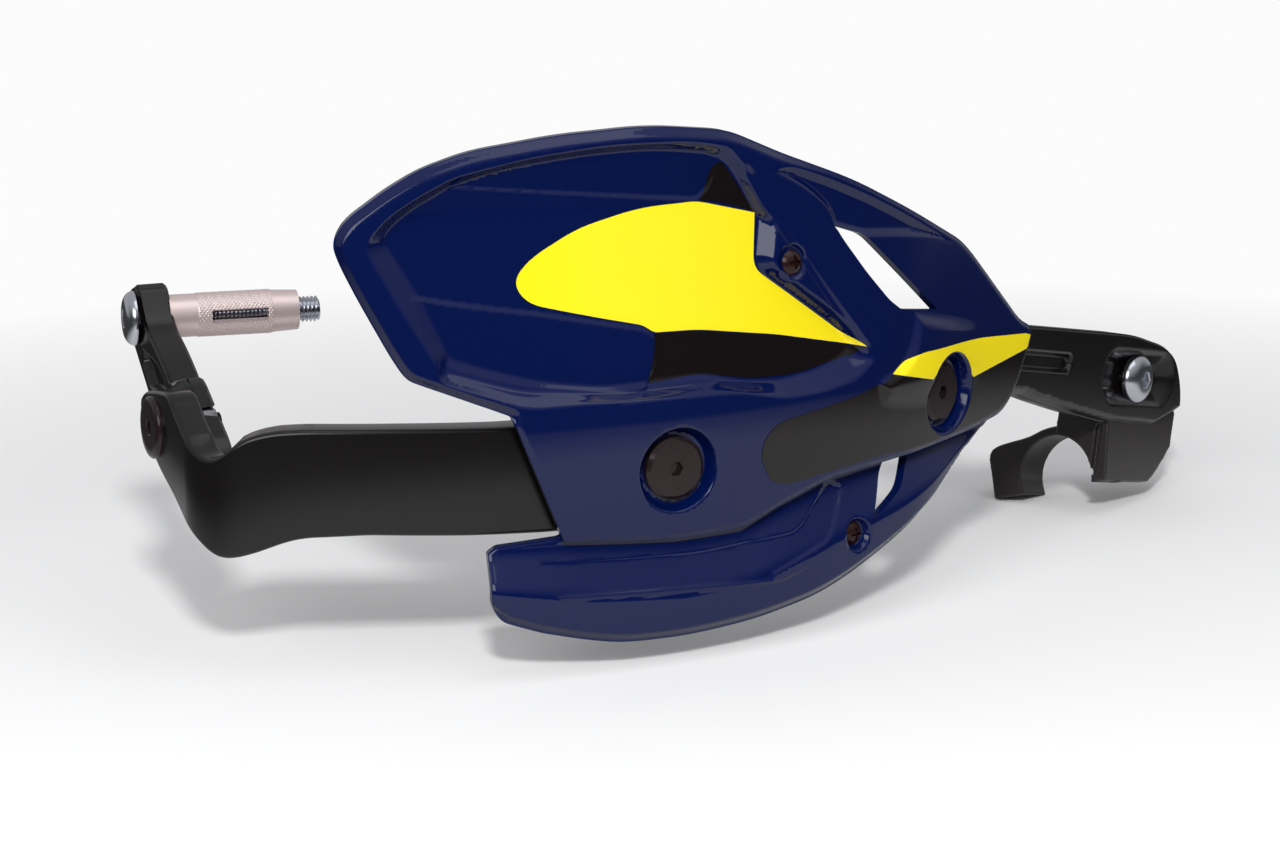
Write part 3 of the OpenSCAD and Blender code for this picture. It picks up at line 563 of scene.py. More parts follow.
def bar_path():
    """Outer side of the bar in plan: points, outward directions, and distance along it."""
    ahead, cross = math.cos(LEG_TURN), math.sin(LEG_TURN)
    x = BEND_RADIUS - LUG_OUTSIDE
    reach = GUARD_RADIUS + BAR_FRONT - BEND_RADIUS
    across = GUARD_APEX * ahead + CURVE_CENTRE_Y * cross - x
    y = CURVE_CENTRE_Y * ahead - GUARD_APEX * cross - math.sqrt(reach * reach - across ** 2)
    centre = np.array([x * ahead - y * cross, x * cross + y * ahead])
    turn = math.atan2(centre[0] - GUARD_APEX, CURVE_CENTRE_Y - centre[1])
    rows = []
    out = np.array([-ahead, -cross])
    for forward in np.arange(LUG_END, -y, 0.8):
        spot = (-LUG_OUTSIDE * ahead + forward * cross, -LUG_OUTSIDE * cross - forward * ahead)
        rows.append((np.array(spot), out))
    for angle in np.linspace(math.pi + LEG_TURN, turn + 1.5 * math.pi, 36):
        out = np.array([math.cos(angle), math.sin(angle)])
        rows.append((centre + BEND_RADIUS * out, out))
    for s in np.arange(turn * GUARD_RADIUS + 1, 210, 1.2):
        angle = min(s / GUARD_RADIUS, INNER_ANGLE)
        spot = on_curve(np.array(s), BAR_FRONT, np.array(0.0))[:2] / MM
        rows.append((spot, np.array([math.sin(angle), -math.cos(angle)])))
    spots = np.array([row[0] for row in rows])
    steps = np.linalg.norm(np.diff(spots, axis=0), axis=1)
    along = LUG_END + np.concatenate([[0], np.cumsum(steps)])
    return spots, np.array([row[1] for row in rows]), along


def eased_table(along, table, blend=2.5):
    """Values from a table of pairs, averaged over a short stretch on each side."""
    keys, values = zip(*table)
    shifts = np.linspace(-blend, blend, 9)
    spread = [np.interp(along + shift, keys, values) for shift in shifts]
    smooth = np.mean(spread, axis=0)
    # At its start the table's own values hold
    near = np.clip((along - keys[0]) / 6, 0, 1)
    return np.interp(along, keys, values) * (1 - near) + smooth * near


def rings_about_x(rings):
    """Points of rings about X: pairs of place along X and radius, spread evenly round."""
    points = []
    for line in rings:
        for k, (x, radius) in enumerate(line):
            angle = 2 * math.pi * k / len(line)
            points.append((x, radius * math.cos(angle), radius * math.sin(angle)))
    return points


def skin(rings, sides):
    """Faces from each of that many rings of points to the next."""
    faces = []
    for i in range(rings - 1):
        for k in range(sides):
            a, b = i * sides + k, i * sides + (k + 1) % sides
            faces.append((a, b, b + sides, a + sides))
    return faces


def closed_skin(rings, sides):
    """The same faces and one at each end."""
    last = (rings - 1) * sides
    ends = [tuple(range(sides))[::-1], tuple(range(last, last + sides))]
    return skin(rings, sides) + ends


def bar_mesh():
    """Points and faces of the bar from the lug to the start of the paddle."""
    spots, outs, along = bar_path()
    keep = along <= BAR_END
    spots, outs, along = spots[keep], outs[keep], along[keep]
    top = eased_table(along, BAR_TOP)
    bottom = eased_table(along, BAR_BOTTOM)
    thick = np.interp(along, *zip(*BAR_THICK))
    points, steps = [], 6
    for k, (spot, out, high, low, depth) in enumerate(zip(spots, outs, top, bottom, thick)):
        ends = min((along[k] - LUG_END) / LUG_EDGE, 1)
        shrink = (1 - math.sqrt(max(1 - (1 - ends) ** 2, 0))) * LUG_EDGE
        front, back = -shrink - BAR_EDGE, -depth + shrink + BAR_EDGE
        high, low = high - BAR_EDGE, low + BAR_EDGE
        for across, height, start in ((front, high, 0), (back, high, 90),
                                      (back, low, 180), (front, low, 270)):
            for step in range(steps):
                angle = math.radians(start + 90 * step / (steps - 1))
                o = across + BAR_EDGE * math.cos(angle)
                z = height + BAR_EDGE * math.sin(angle)
                points.append((*(spot + o * out), z))
    return points, closed_skin(len(spots), 4 * steps)


# Paddle at the bar's inner end, seen on its own face: its origin on the curve, its slope,
# its bolt, its thickness, its edges' rounding, and its outline
PADDLE_ORIGIN = (295.0, -43.5)
PADDLE_SLOPE = math.radians(12)
PADDLE_BOLT = (3.4, -1.4)
PADDLE_THICK = 10
PADDLE_EDGE = 0.9
PADDLE = Matrix.LocRotScale(
    Vector(on_curve(np.array(PADDLE_ORIGIN[0]), BAR_FRONT, np.array(PADDLE_ORIGIN[1]))),
    Matrix.Rotation(INNER_ANGLE, 3, "Z") @ Matrix.Rotation(PADDLE_SLOPE, 3, "Y"), None)
PADDLE_OUTLINE = [
    (-93, 12.4), (-77, 13.2, 20), (-5, 13.6, 8), (19.2, 10.7, 6), (28.2, 6.8, 5), (33.2, -0.5, 5),
    (35.4, -6, 4), (36.2, -11.5, 1.5), (27.5, -14.6, 3), (19.2, -17.6, 3), (-12.8, -17.1, 8),
    (-39.8, -14.4, 8), (-64, -11.4, 6), (-74, -9.6, 4), (-93, -10)]
PADDLE_FOOT = [(37, -11.5), (27.5, -14.8), (19.2, -17.6), (-12.8, -17.1), (-39.8, -14.4),
               (-64, -11.4), (-74, -9.6), (-93, -10)]

# Bowl round the clamp bolt and pocket outboard of it: centre, half its straight, radius
BOWL = ((1.8, -0.8), 16.5, 9.6)
POCKET = ((-72, 2.0), 22.6, 3.4)

# Depth and width of the bowl's slope and of its lip, of the pocket's wall, and of the
# chamfer along the paddle's foot
BOWL_DEPTH = 4.4
BOWL_SLOPE = 6.2
BOWL_LIP_DEPTH = 0.4
BOWL_LIP = 0.9
POCKET_DEPTH = 2.2
POCKET_WALL = 1.3
FOOT_DEPTH = 2.6
FOOT_WIDTH = 2.7


def turned_matrix(points, matrix):
    """Points in millimetres in a frame of their own, in metres in the guard's frame."""
    turn = np.array(matrix.to_3x3())
    return (np.asarray(points) * MM) @ turn.T + np.array(matrix.translation)


def on_paddle(a, d, b):
    """On the paddle: place along it, distance in front of its face, and height."""
    return turned_matrix(np.stack([a, -d, b], axis=-1), PADDLE)


def stadium(points, centre, half, radius):
    """How far each point is inside a round-ended slot."""
    x = np.maximum(np.abs(points[:, 0] - centre[0]) - half, 0)
    return radius - np.hypot(x, points[:, 1] - centre[1])


def stadium_line(centre, half, radius, count=24):
    """Outline of a round-ended slot."""
    angles = np.linspace(-math.pi / 2, math.pi / 2, count)
    right = np.stack([half + radius * np.cos(angles), radius * np.sin(angles)], axis=-1)
    return np.vstack([right, -right]) + np.array(centre)


def edge_fall(gap, radius):
    """Drop of a rounded edge at that distance from it."""
    t = np.clip(1 - gap / radius, 0, 1)
    return radius * (1 - np.sqrt(np.maximum(1 - t * t, 0)))


def paddle_edge(points):
    """Drop of the paddle's rounded edge, apart from its end in the bar."""
    free = points[:, 0] > -90
    return edge_fall(distance(points, rounded(PADDLE_OUTLINE)), PADDLE_EDGE) * free


def paddle_front(points):
    """Distance of the paddle's front from its face, with chamfered foot, bowl and pocket."""
    d = -paddle_edge(points)
    foot = distance(points, np.array(PADDLE_FOOT, float), closed=False)
    d -= FOOT_DEPTH * eased(1 - foot / FOOT_WIDTH, 0.15)
    bowl = stadium(points, *BOWL)
    d -= (BOWL_DEPTH * eased(bowl / BOWL_SLOPE, 0.3)
          + BOWL_LIP_DEPTH * eased(bowl / BOWL_LIP, 0.4))
    pocket = stadium(points, *POCKET)
    return d - POCKET_DEPTH * eased(pocket / POCKET_WALL, 0.35)


def paddle_back(points, ahead):
    """Distance of the paddle's back, which is flat."""
    return -PADDLE_THICK + paddle_edge(points)


# Bar-end arm: its inner side's place, its thickness and its edges' rounding, and seen
# from its outer side its pivot and outlines, by distance forward of the anchor and height
ARM_INSIDE = -4.0
ARM_THICK = 10.0
ARM_EDGE = 1.0
PIVOT = (47.5, -23.0)

# Radius, depth and wall of the seat of the pivot's nut, depth and wall of the arm's
# pocket, and depth and reach of the step along its nose
NUT_SEAT = 4.9
NUT_SEAT_DEPTH = 5.4
NUT_SEAT_WALL = 0.4
ARM_POCKET_DEPTH = 2.4
ARM_POCKET_WALL = 1.2
NOSE_CUT = 4.2
NOSE_REACH = 3.4
ARM_OUTLINE = [
    (-10.3, 1.5), (-9, 5.4), (-6, 8.6), (-2, 10.3), (1, 9.2, 1), (3.4, 5.6, 2), (6.6, 1, 3),
    (10.5, -1.9, 3), (21, -6.4, 6), (28.5, -10.4, 4), (32.8, -13.2, 1), (34.8, -11.9, 0.8),
    (38.5, -13.0, 2), (60.5, -25.3, 3), (65, -30, 4), (64, -37, 3), (56, -42, 4), (40, -38, 4),
    (20, -29.5, 4), (9, -20.3, 3), (3, -15.3, 3), (-3, -10.2, 3), (-8, -6.5, 2), (-10.2, -2)]
ARM_POCKET = [
    (5.6, -8.2, 1), (4.8, -12.2, 1), (12.5, -18.6, 1), (29, -19.4, 1), (30.4, -14.4, 1),
    (20.9, -9.9, 4)]
ARM_NOSE = [(34.8, -11.9), (38.5, -13.0), (60.5, -25.3), (65, -30)]


def on_arm(a, d, b):
    """On the arm: distance forward of the anchor, distance outboard, and height."""
    return turned_matrix(np.stack([-d, -a, b], axis=-1), Matrix.Rotation(LEG_TURN, 4, "Z"))


def arm_outside(points):
    """How far outboard of the anchor's origin the arm's outer side is."""
    d = -ARM_INSIDE + ARM_THICK - edge_fall(distance(points, rounded(ARM_OUTLINE)), ARM_EDGE)
    d -= ARM_POCKET_DEPTH * within(points, rounded(ARM_POCKET), ARM_POCKET_WALL, 0.3)
    nose = distance(points, np.array(ARM_NOSE), closed=False)
    return d - NOSE_CUT * eased(1 - nose / NOSE_REACH, 0.12) * fade(points[:, 0], 33.2, 34.6)


def arm_inside(points, ahead):
    """How far outboard its inner side is, with the seat of the pivot's nut."""
    seat = NUT_SEAT - np.hypot(points[:, 0] - PIVOT[0], points[:, 1] - PIVOT[1])
    d = -ARM_INSIDE + edge_fall(distance(points, rounded(ARM_OUTLINE)), ARM_EDGE)
    return d + NUT_SEAT_DEPTH * eased(seat / NUT_SEAT_WALL, 0)


# Anchor's sleeve: its radius and its bore's, where its slots start and end with half
# their width, and its knurling
SLEEVE_RADIUS = 6.75
SLEEVE_BORE = 4.3
SLEEVE_SLOTS = (9.0, 26.0, 2.0)
KNURL_PITCH = 1.15
KNURL_STARTS = 30
KNURL_DEPTH = 0.26
KNURL_SPAN = (4.6, 27.6)


def sleeve_mesh():
    """Points and faces of the sleeve: a knurled skin, a plain bore and two slots."""
    lengths = np.concatenate([np.arange(-4, 4.4, 0.7), np.arange(4.6, 28.01, 0.26)])
    sides = 300
    slot_start, slot_end, half = SLEEVE_SLOTS
    knurl_start, knurl_end = KNURL_SPAN
    rows, skip = [], []
    for x in lengths:
        for k in range(sides):
            angle = 2 * math.pi * k / sides
            one = abs((x / KNURL_PITCH + k * KNURL_STARTS / sides) % 1 - 0.5) * 2
            two = abs((x / KNURL_PITCH - k * KNURL_STARTS / sides) % 1 - 0.5) * 2
            inside_span = knurl_start < x < knurl_end
            knurl = KNURL_DEPTH * min(one, two) if inside_span else -0.02
            rows.append((x, angle, SLEEVE_RADIUS - 0.10 + knurl * 0.9))
            side = SLEEVE_RADIUS * math.sin(angle - math.radians(3))
            skip.append(slot_start < x < slot_end and abs(side) < half)
    outer = [(x, -r * math.cos(a), r * math.sin(a)) for x, a, r in rows]
    inner = [(x, -SLEEVE_BORE * math.cos(a), SLEEVE_BORE * math.sin(a)) for x, a, r in rows]
    count = len(outer)
    faces, sides_used = [], {}
    for i in range(len(lengths) - 1):
        for k in range(sides):
            a, b = i * sides + k, i * sides + (k + 1) % sides
            if skip[a] or skip[b] or skip[a + sides] or skip[b + sides]:
                continue
            quad = (a, a + sides, b + sides, b)
            faces.append(quad)
            faces.append(tuple(j + count for j in quad[::-1]))
            for edge in zip(quad, quad[1:] + quad[:1]):
                sides_used[edge] = True
    for a, b in list(sides_used):
        if (b, a) not in sides_used:
            faces.append((b, a, a + count, b + count))
    return outer + inner, faces


def hexagon(across, sides):
    """Radii of a hexagon at that many even steps round it."""
    return [across / 2 / math.cos(math.radians((360 * k / sides) % 60 - 30))
            for k in range(sides)]


def socket_head(profile, across, depth, sides=72, chamfer=0.35):
    """A turned head facing -X with a hexagon socket: pairs of height and radius, from
    the rim of the socket's face outwards."""
    top = profile[0][0]
    socket = hexagon(across, sides)
    rings = [[(top - depth - 0.6, 0.2)] * sides,
             [(top - depth, radius) for radius in socket],
             [(top - chamfer, radius) for radius in socket],
             [(top, radius + chamfer) for radius in socket]]
    rings += [[pair] * sides for pair in profile]
    rings = [[(-height, radius) for height, radius in line] for line in rings]
    return rings_about_x(rings), closed_skin(len(rings), sides)


def dome(radius, height, face, rim=0.7, steps=12):
    """Profile of a round head, from the rim of its face outwards to its seat."""
    rows = [(height, face)]
    for k in range(1, steps + 1):
        t = k / steps
        angle = t * math.pi / 2
        rows.append((rim + (height - rim) * math.cos(angle) ** 1.1,
                     face + (radius - face) * math.sin(angle)))
    return rows + [(0.25, radius), (0, radius - 0.3), (0, radius * 0.4)]


def hexagon_nut(across, height, hole, sides=72):
    """A nut along X with turned corners and a plain hole."""
    corner = across / math.sqrt(3) * 0.985
    turned_face = across / 2 * 0.99
    rings = []
    for x, kind in ((0.0, "hole"), (0.0, "face"), (0.5, "hex"), (height - 0.5, "hex"),
                    (height, "face"), (height, "hole")):
        rings.append([(x, {"hole": hole, "face": min(flat, turned_face),
                           "hex": min(flat, corner)}[kind]) for flat in hexagon(across, sides)])
    faces = skin(len(rings), sides)
    last = (len(rings) - 1) * sides
    for k in range(sides):
        faces.append((last + k, last + (k + 1) % sides, (k + 1) % sides, k))
    return rings_about_x(rings), faces


def joined(*parts):
    """Several closed skins as the points and faces of one mesh."""
    points, faces = [], []
    for more, skins in parts:
        start = len(points)
        points += list(more)
        faces += [tuple(i + start for i in face) for face in skins]
    return points, faces


def moved(part, offset):
    """The same points and faces, moved."""
    points, faces = part
    return [tuple(np.add(p, offset)) for p in points], faces


def in_scene(name, data):
    """A new object in the scene for a mesh, a lamp or a camera."""
    made = bpy.data.objects.new(name, data)
    bpy.context.scene.collection.objects.link(made)
    return made


def prism(outline, low, high, place):
    """A closed prism on an outline, as a helper object for a boolean."""
    count = len(outline)
    points = [place(a, low, b) for a, b in outline] + [place(a, high, b) for a, b in outline]
    faces = [tuple(range(count))[::-1], tuple(range(count, 2 * count))]
    faces += [(i, (i + 1) % count, (i + 1) % count + count, i + count) for i in range(count)]
    mesh = bpy.data.meshes.new("prism")
    mesh.from_pydata([tuple(p) for p in points], [], faces)
    made = bmesh.new()
    made.from_mesh(mesh)
    bmesh.ops.recalc_face_normals(made, faces=made.faces)
    made.to_mesh(mesh)
    made.free()
    return in_scene("prism", mesh)


def rod(radius, centre, length, matrix):
    """A round cutter along the matrix's own Z."""
    mesh = bpy.data.meshes.new("rod")
    made = bmesh.new()
    bmesh.ops.create_cone(made, cap_ends=True, segments=32, radius1=radius * MM,
                          radius2=radius * MM, depth=length * MM,
                          matrix=matrix @ Matrix.Translation(Vector(centre) * MM))
    made.to_mesh(mesh)
    made.free()
    return in_scene("rod", mesh)


def carved(name, body, added, cut, slot, voxel=0.45, sharp=50):
    """One solid: the body with others added and cut away, and its edges softened."""
    for operation, tools in (("UNION", added), ("DIFFERENCE", cut)):
        for tool in tools:
            change = body.modifiers.new("change", "BOOLEAN")
            change.operation = operation
            change.solver = "MANIFOLD"
            change.object = tool
    remesh = body.modifiers.new("skin", "REMESH")
    remesh.mode = "VOXEL"
    remesh.voxel_size = voxel * MM
    soft = body.modifiers.new("soft", "SMOOTH")
    soft.factor = 0.5
    soft.iterations = 7
    bpy.context.view_layer.update()
    mesh = bpy.data.meshes.new_from_object(body.evaluated_get(
        bpy.context.evaluated_depsgraph_get()))
    for helper in [body, *added, *cut]:
        bpy.data.objects.remove(helper)
    mesh.name = name
    mesh.materials.clear()
    return link(name, mesh, slot, sharp)


# Clamp bracket: a block and a boss under and behind the paddle, and the upper half of
# the clamp, seen along the handlebar as distance behind and height. CLAMP_MIDDLE is how
# far its middle is behind the paddle's origin and above it
CLAMP_MIDDLE = (20.5, -38)
CLAMP_TILT = -math.radians(16.5)
CLAMP = PADDLE @ Matrix.Translation((0, CLAMP_MIDDLE[0] * MM, CLAMP_MIDDLE[1] * MM))
CLAMP = CLAMP @ Matrix.Rotation(CLAMP_TILT, 4, "X")
CLAMP_RADIUS = 14.3
CLAMP_END = 9
BLOCK_BACK = -22
BLOCK_OUTLINE = [
    (-11.5, -14.6), (20, -14.8), (35.8, -9.6), (37.4, -12.5), (35.4, -24.2), (32, -27.6),
    (24.5, -34), (19.6, -37), (-4, -40.4), (-11.5, -40.2)]
BOSS_OUTLINE = [(14, 0), (12, 6), (7, 11), (2, 12), (-5, 10.5), (-9, 6), (-9.2, -17), (28, -17)]
SADDLE_OUTLINE = [
    (25.2, -8), (25.4, 10.6, 1), (24.2, 13, 2), (21, 14.2, 2), (8, 15.4, 3), (3, 17.2, 3),
    (-7.5, 17.6, 3), (-10.6, 16, 2), (-15.6, 16.6), (-15.6, -8)]
GROOVE_OUTLINE = [(-13, -18), (-9.9, -18), (-9.9, -35.0), (-13, -35.0)]

# What is open under the clamp's upper half, and its two cap screws' places
BELOW_CLAMP = [(-60, -40), (60, -40), (60, -4), (-60, -4)]
CAP_SCREW_RADIUS = 2.0
CAP_SCREWS = (-16.9, 19.9)


def on_clamp(a, d, b):
    """A point of the clamp: distance behind, place along the handlebar, and height."""
    return turned_matrix((d, a, b), CLAMP)


def on_block(a, d, b):
    """On the block, whose front face comes forward towards its foot."""
    return turned_matrix((a, 2.4 + 0.075 * (b + 15.5) if d == 0 else -d, b), PADDLE)


def filled(points, outline, holes):
    """Whether each point is inside the outline and outside its holes."""
    result = inside(points, outline)
    for hole in holes:
        result &= ~inside(points, hole)
    return result


def triangulated(outline, holes, folds, spacing):
    """Triangles that fill the outline and follow every line, and the boundary's edges."""
    lines = [(spaced(line, spacing), True) for line in [outline] + holes]
    for fold in folds:
        fold = spaced(fold, spacing)
        kept = filled(fold, outline, holes)
        for line in [outline] + holes:
            kept &= distance(fold, line) > spacing * 0.5
        for run in np.split(np.arange(len(fold)), np.where(~kept)[0]):
            run = run[kept[run]]
            if len(run) > 2:
                lines.append((fold[run], False))
    points = np.vstack([line for line, closed in lines])
    edges = []
    start = 0
    for line, closed in lines:
        count = len(line)
        edges += [(start + i, start + (i + 1) % count) for i in range(count - 1 + closed)]
        start += count
    tree = KDTree(len(points))
    for i, point in enumerate(points):
        tree.insert((point[0], point[1], 0), i)
    tree.balance()
    # Between the lines, rows of points in even triangles, clear of every line
    low, high = outline.min(0), outline.max(0)
    rows = np.arange(low[1], high[1], spacing * 0.866)
    grid = []
    for k, z in enumerate(rows):
        line = np.arange(low[0] + (k % 2) * spacing / 2, high[0], spacing)
        grid.append(np.stack([line, np.full(len(line), z)], axis=-1))
    grid = np.vstack(grid)
    grid = grid[filled(grid, outline, holes)]
    clear = [tree.find((p[0], p[1], 0))[2] > spacing * 0.62 for p in grid]
    grid = grid[np.array(clear, bool)]
    points = np.vstack([points, grid])
    found = delaunay_2d_cdt([Vector(p) for p in points], edges, [], 0, 1e-5)
    flat = np.array([tuple(p) for p in found[0]])
    faces = np.array([face for face in found[2] if len(face) == 3])
    faces = faces[filled(flat[faces].mean(1), outline, holes)]
    side = flat[faces]
    turn = np.cross(side[:, 1] - side[:, 0], side[:, 2] - side[:, 0])
    faces[turn < 0] = faces[turn < 0][:, ::-1]
    sides = np.vstack([faces[:, [0, 1]], faces[:, [1, 2]], faces[:, [2, 0]]])
    twins = set(map(tuple, sides))
    border = [tuple(e) for e in sides if (e[1], e[0]) not in twins]
    return flat, faces, border


def link(name, mesh, slot, sharp):
    """An object for a mesh, smooth apart from its sharp edges, on the guard's one body."""
    mesh.shade_smooth()
    mesh.set_sharp_from_angle(angle=math.radians(sharp))
    piece = in_scene(name, mesh)
    piece.data.materials.append(finish(slot))
    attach(piece, "root")
    return piece


def sheet(name, outline, holes, folds, front, back, spacing, slot, place=on_curve, sharp=38):
    """A sheet: one surface in front, one behind, and the edge that joins them."""
    flat, faces, border = triangulated(outline, holes, folds, spacing)
    ahead = front(flat)
    behind = back(flat, ahead)
    count = len(flat)
    points = np.vstack([place(flat[:, 0], ahead, flat[:, 1]),
                        place(flat[:, 0], behind, flat[:, 1])])
    solid = [tuple(face) for face in faces]
    solid += [tuple(int(i) + count for i in face[::-1]) for face in faces]
    solid += [(b, a, a + count, b + count) for a, b in border]
    mesh = bpy.data.meshes.new(name)
    mesh.from_pydata(points.tolist(), [], [tuple(map(int, face)) for face in solid])
    piece = link(name, mesh, slot, sharp)
    smooth_normals(mesh, surface_normals(flat, front, place), len(faces))
    return piece


def surface_normals(flat, front, place, step=0.45):
    """Directions that the front faces in, from the shape itself."""
    def spots(shift):
        """The front's points, with each one's place or height shifted."""
        near = flat + np.array(shift)
        return place(near[:, 0], front(near), near[:, 1])
    along = spots((step, 0)) - spots((-step, 0))
    up = spots((0, step)) - spots((0, -step))
    normals = np.cross(along, up)
    return normals / np.maximum(np.linalg.norm(normals, axis=1), 1e-12)[:, None]


def smooth_normals(mesh, normals, count):
    """Gives the front's and the back's faces those directions, and leaves the edge's."""
    owners = np.empty(len(mesh.polygons), int)
    mesh.polygons.foreach_get("loop_total", owners)
    face = np.repeat(np.arange(len(owners)), owners)
    corners = np.empty(len(mesh.loops), int)
    mesh.loops.foreach_get("vertex_index", corners)
    flat = np.empty(len(owners) * 3)
    mesh.polygons.foreach_get("normal", flat)
    wanted = flat.reshape(-1, 3)[face]
    front, back = face < count, (face >= count) & (face < 2 * count)
    wanted[front] = normals[corners[front]]
    wanted[back] = -normals[corners[back] - len(normals)]
    mesh.normals_split_custom_set(wanted.tolist())


def turned(profile, sides=64):
    """A ring turned about X: pairs of place along X and radius, the last as the first."""
    return rings_about_x([[pair] * sides for pair in profile]), skin(len(profile), sides)


def thread(radius, start, end, pitch, sides=40):
    """Thread about X: a skin whose radius follows a helix, closed at both ends."""
    depth = 0.6 * pitch
    count = int((end - start) / (pitch / 7)) + 1
    rings = []
    for i in range(count):
        x = start + (end - start) * i / (count - 1)
        ends = min(min(x - start, end - x) / (0.5 * pitch), 1)
        line = []
        for k in range(sides):
            turn = (x / pitch - k / sides) % 1
            tooth = abs(turn - 0.5) * 2
            r = radius - depth * min(max(tooth * 1.25 - 0.12, 0), 1) - (1 - ends) * depth * 0.6
            line.append((x, r))
        rings.append(line)
    return rings_about_x(rings), closed_skin(count, sides)


def placed(name, points, faces, matrix, slot, sharp=35):
    """An object from points in millimetres in a frame of their own."""
    mesh = bpy.data.meshes.new(name)
    mesh.from_pydata([tuple(matrix @ (Vector(p) * MM)) for p in points], [], faces)
    mesh.validate()
    return link(name, mesh, slot, sharp)


# Finishes
def add_node(tree, kind, inputs=None, **settings):
    """A node of a material or the world. Each input is a value or another node's output."""
    made = tree.nodes.new(kind)
    for name, value in settings.items():
        setattr(made, name, value)
    for name, value in (inputs or {}).items():
        if isinstance(value, bpy.types.NodeSocket):
            tree.links.new(value, made.inputs[name])
        else:
            made.inputs[name].default_value = value
    return made


def linear(colour):
    """A colour as it is written in sRGB, turned to the light it reflects."""
    return tuple(c / 12.92 if c <= 0.04045 else ((c + 0.055) / 1.055) ** 2.4 for c in colour)


def finish_nodes(name, colour, roughness, metallic=0.0, spread=0.08, tint=0.12, grain=0.0,
                 grain_scale=900.0):
    """A finish with uneven roughness, a slight change of tone and a fine grain."""
    colour = linear(colour)
    material = bpy.data.materials.new(name)
    material.use_nodes = True
    tree = material.node_tree
    shader = tree.nodes["Principled BSDF"]
    shader.inputs["Metallic"].default_value = metallic
    place = add_node(tree, "ShaderNodeTexCoord").outputs["Object"]
    uneven = add_node(tree, "ShaderNodeTexNoise", {"Scale": 45, "Detail": 5, "Vector": place})
    gloss = add_node(tree, "ShaderNodeMapRange", {
        "Value": uneven.outputs["Fac"], "To Min": max(roughness - spread, 0.02),
        "To Max": roughness + spread})
    tree.links.new(gloss.outputs["Result"], shader.inputs["Roughness"])
    broad = add_node(tree, "ShaderNodeTexNoise", {"Scale": 14, "Vector": place})
    tones = add_node(tree, "ShaderNodeMix", {
        "Factor": broad.outputs["Fac"], "A": (*[c * (1 - tint) for c in colour], 1),
        "B": (*[min(c * (1 + tint), 1) for c in colour], 1)}, data_type="RGBA")
    tree.links.new(tones.outputs["Result"], shader.inputs["Base Color"])
    if grain:
        fine = add_node(tree, "ShaderNodeTexNoise", {
            "Scale": grain_scale, "Detail": 3, "Vector": place})
        bump = add_node(tree, "ShaderNodeBump", {
            "Strength": 0.5, "Distance": grain * MM, "Height": fine.outputs["Fac"]})
        tree.links.new(bump.outputs["Normal"], shader.inputs["Normal"])
    return material


def finishes():
    """Every material slot's finish, each with its name, its colour in sRGB and its
    roughness."""
    sizes = bpy.context.scene.hand_guard
    return {
        "navy_moulding": finish_nodes("glossy_blue_plastic", sizes.shield_colour,
                                      sizes.shield_gloss, spread=0.03, tint=0.06,
                                      grain=0.01, grain_scale=260),
        "yellow_decal": finish_nodes("yellow_vinyl", sizes.yellow, 0.16, spread=0.04,
                                     tint=0.02, grain=0.006, grain_scale=500),
        "black_decal": finish_nodes("black_vinyl", sizes.black, 0.14, spread=0.04,
                                    tint=0.1, grain=0.006, grain_scale=500),
        "black_bar": finish_nodes("black_anodised", (0.055, 0.046, 0.05), 0.22,
                                  spread=0.04, grain=0.002, grain_scale=2600),
        "black_bracket": finish_nodes("grey_black_anodised", (0.15, 0.135, 0.14), 0.32,
                                      spread=0.06, grain=0.004, grain_scale=2200),
        "bright_bolt": finish_nodes("bright_zinc", (0.82, 0.83, 0.86), 0.2, metallic=1,
                                    spread=0.06, tint=0.05, grain=0.01, grain_scale=1500),
        "plain_sleeve": finish_nodes("plain_aluminium", (0.90, 0.83, 0.82), 0.34,
                                     metallic=0.7, grain=0.01, grain_scale=1800),
        "black_bolt": finish_nodes("black_oxide", (0.16, 0.12, 0.125), 0.16, metallic=0.4,
                                   spread=0.05, grain=0.006, grain_scale=1800),
        "dark_screw": finish_nodes("dark_red_black", (0.15, 0.075, 0.075), 0.25,
                                   metallic=0.4, tint=0.3),
        "dull_steel": finish_nodes("dull_steel", (0.6, 0.6, 0.62), 0.38, metallic=1,
                                   grain=0.01, grain_scale=1500)}


FINISHES = {}


def finish(slot):
    """The finish of a material slot; all of them are made at the first call."""
    if not FINISHES:
        FINISHES.update(finishes())
    return FINISHES[slot]


def dress(node, bevel):
    """Gives a node of the frame its finish, and a small bevel on its edges."""
    piece = frame["nodes"][node]
    slots = {row["node"]: row["material_slot"] for row in frame["record"]["subparts"]}
    piece.data.materials.clear()
    piece.data.materials.append(finish(slots[node]))
    edges = piece.modifiers.new("edge", "BEVEL")
    edges.width = bevel * MM
    edges.segments = 2
    edges.limit_method = "ANGLE"
    edges.angle_limit = math.radians(30)
    edges.harden_normals = True
    edges.miter_outer = "MITER_ARC"


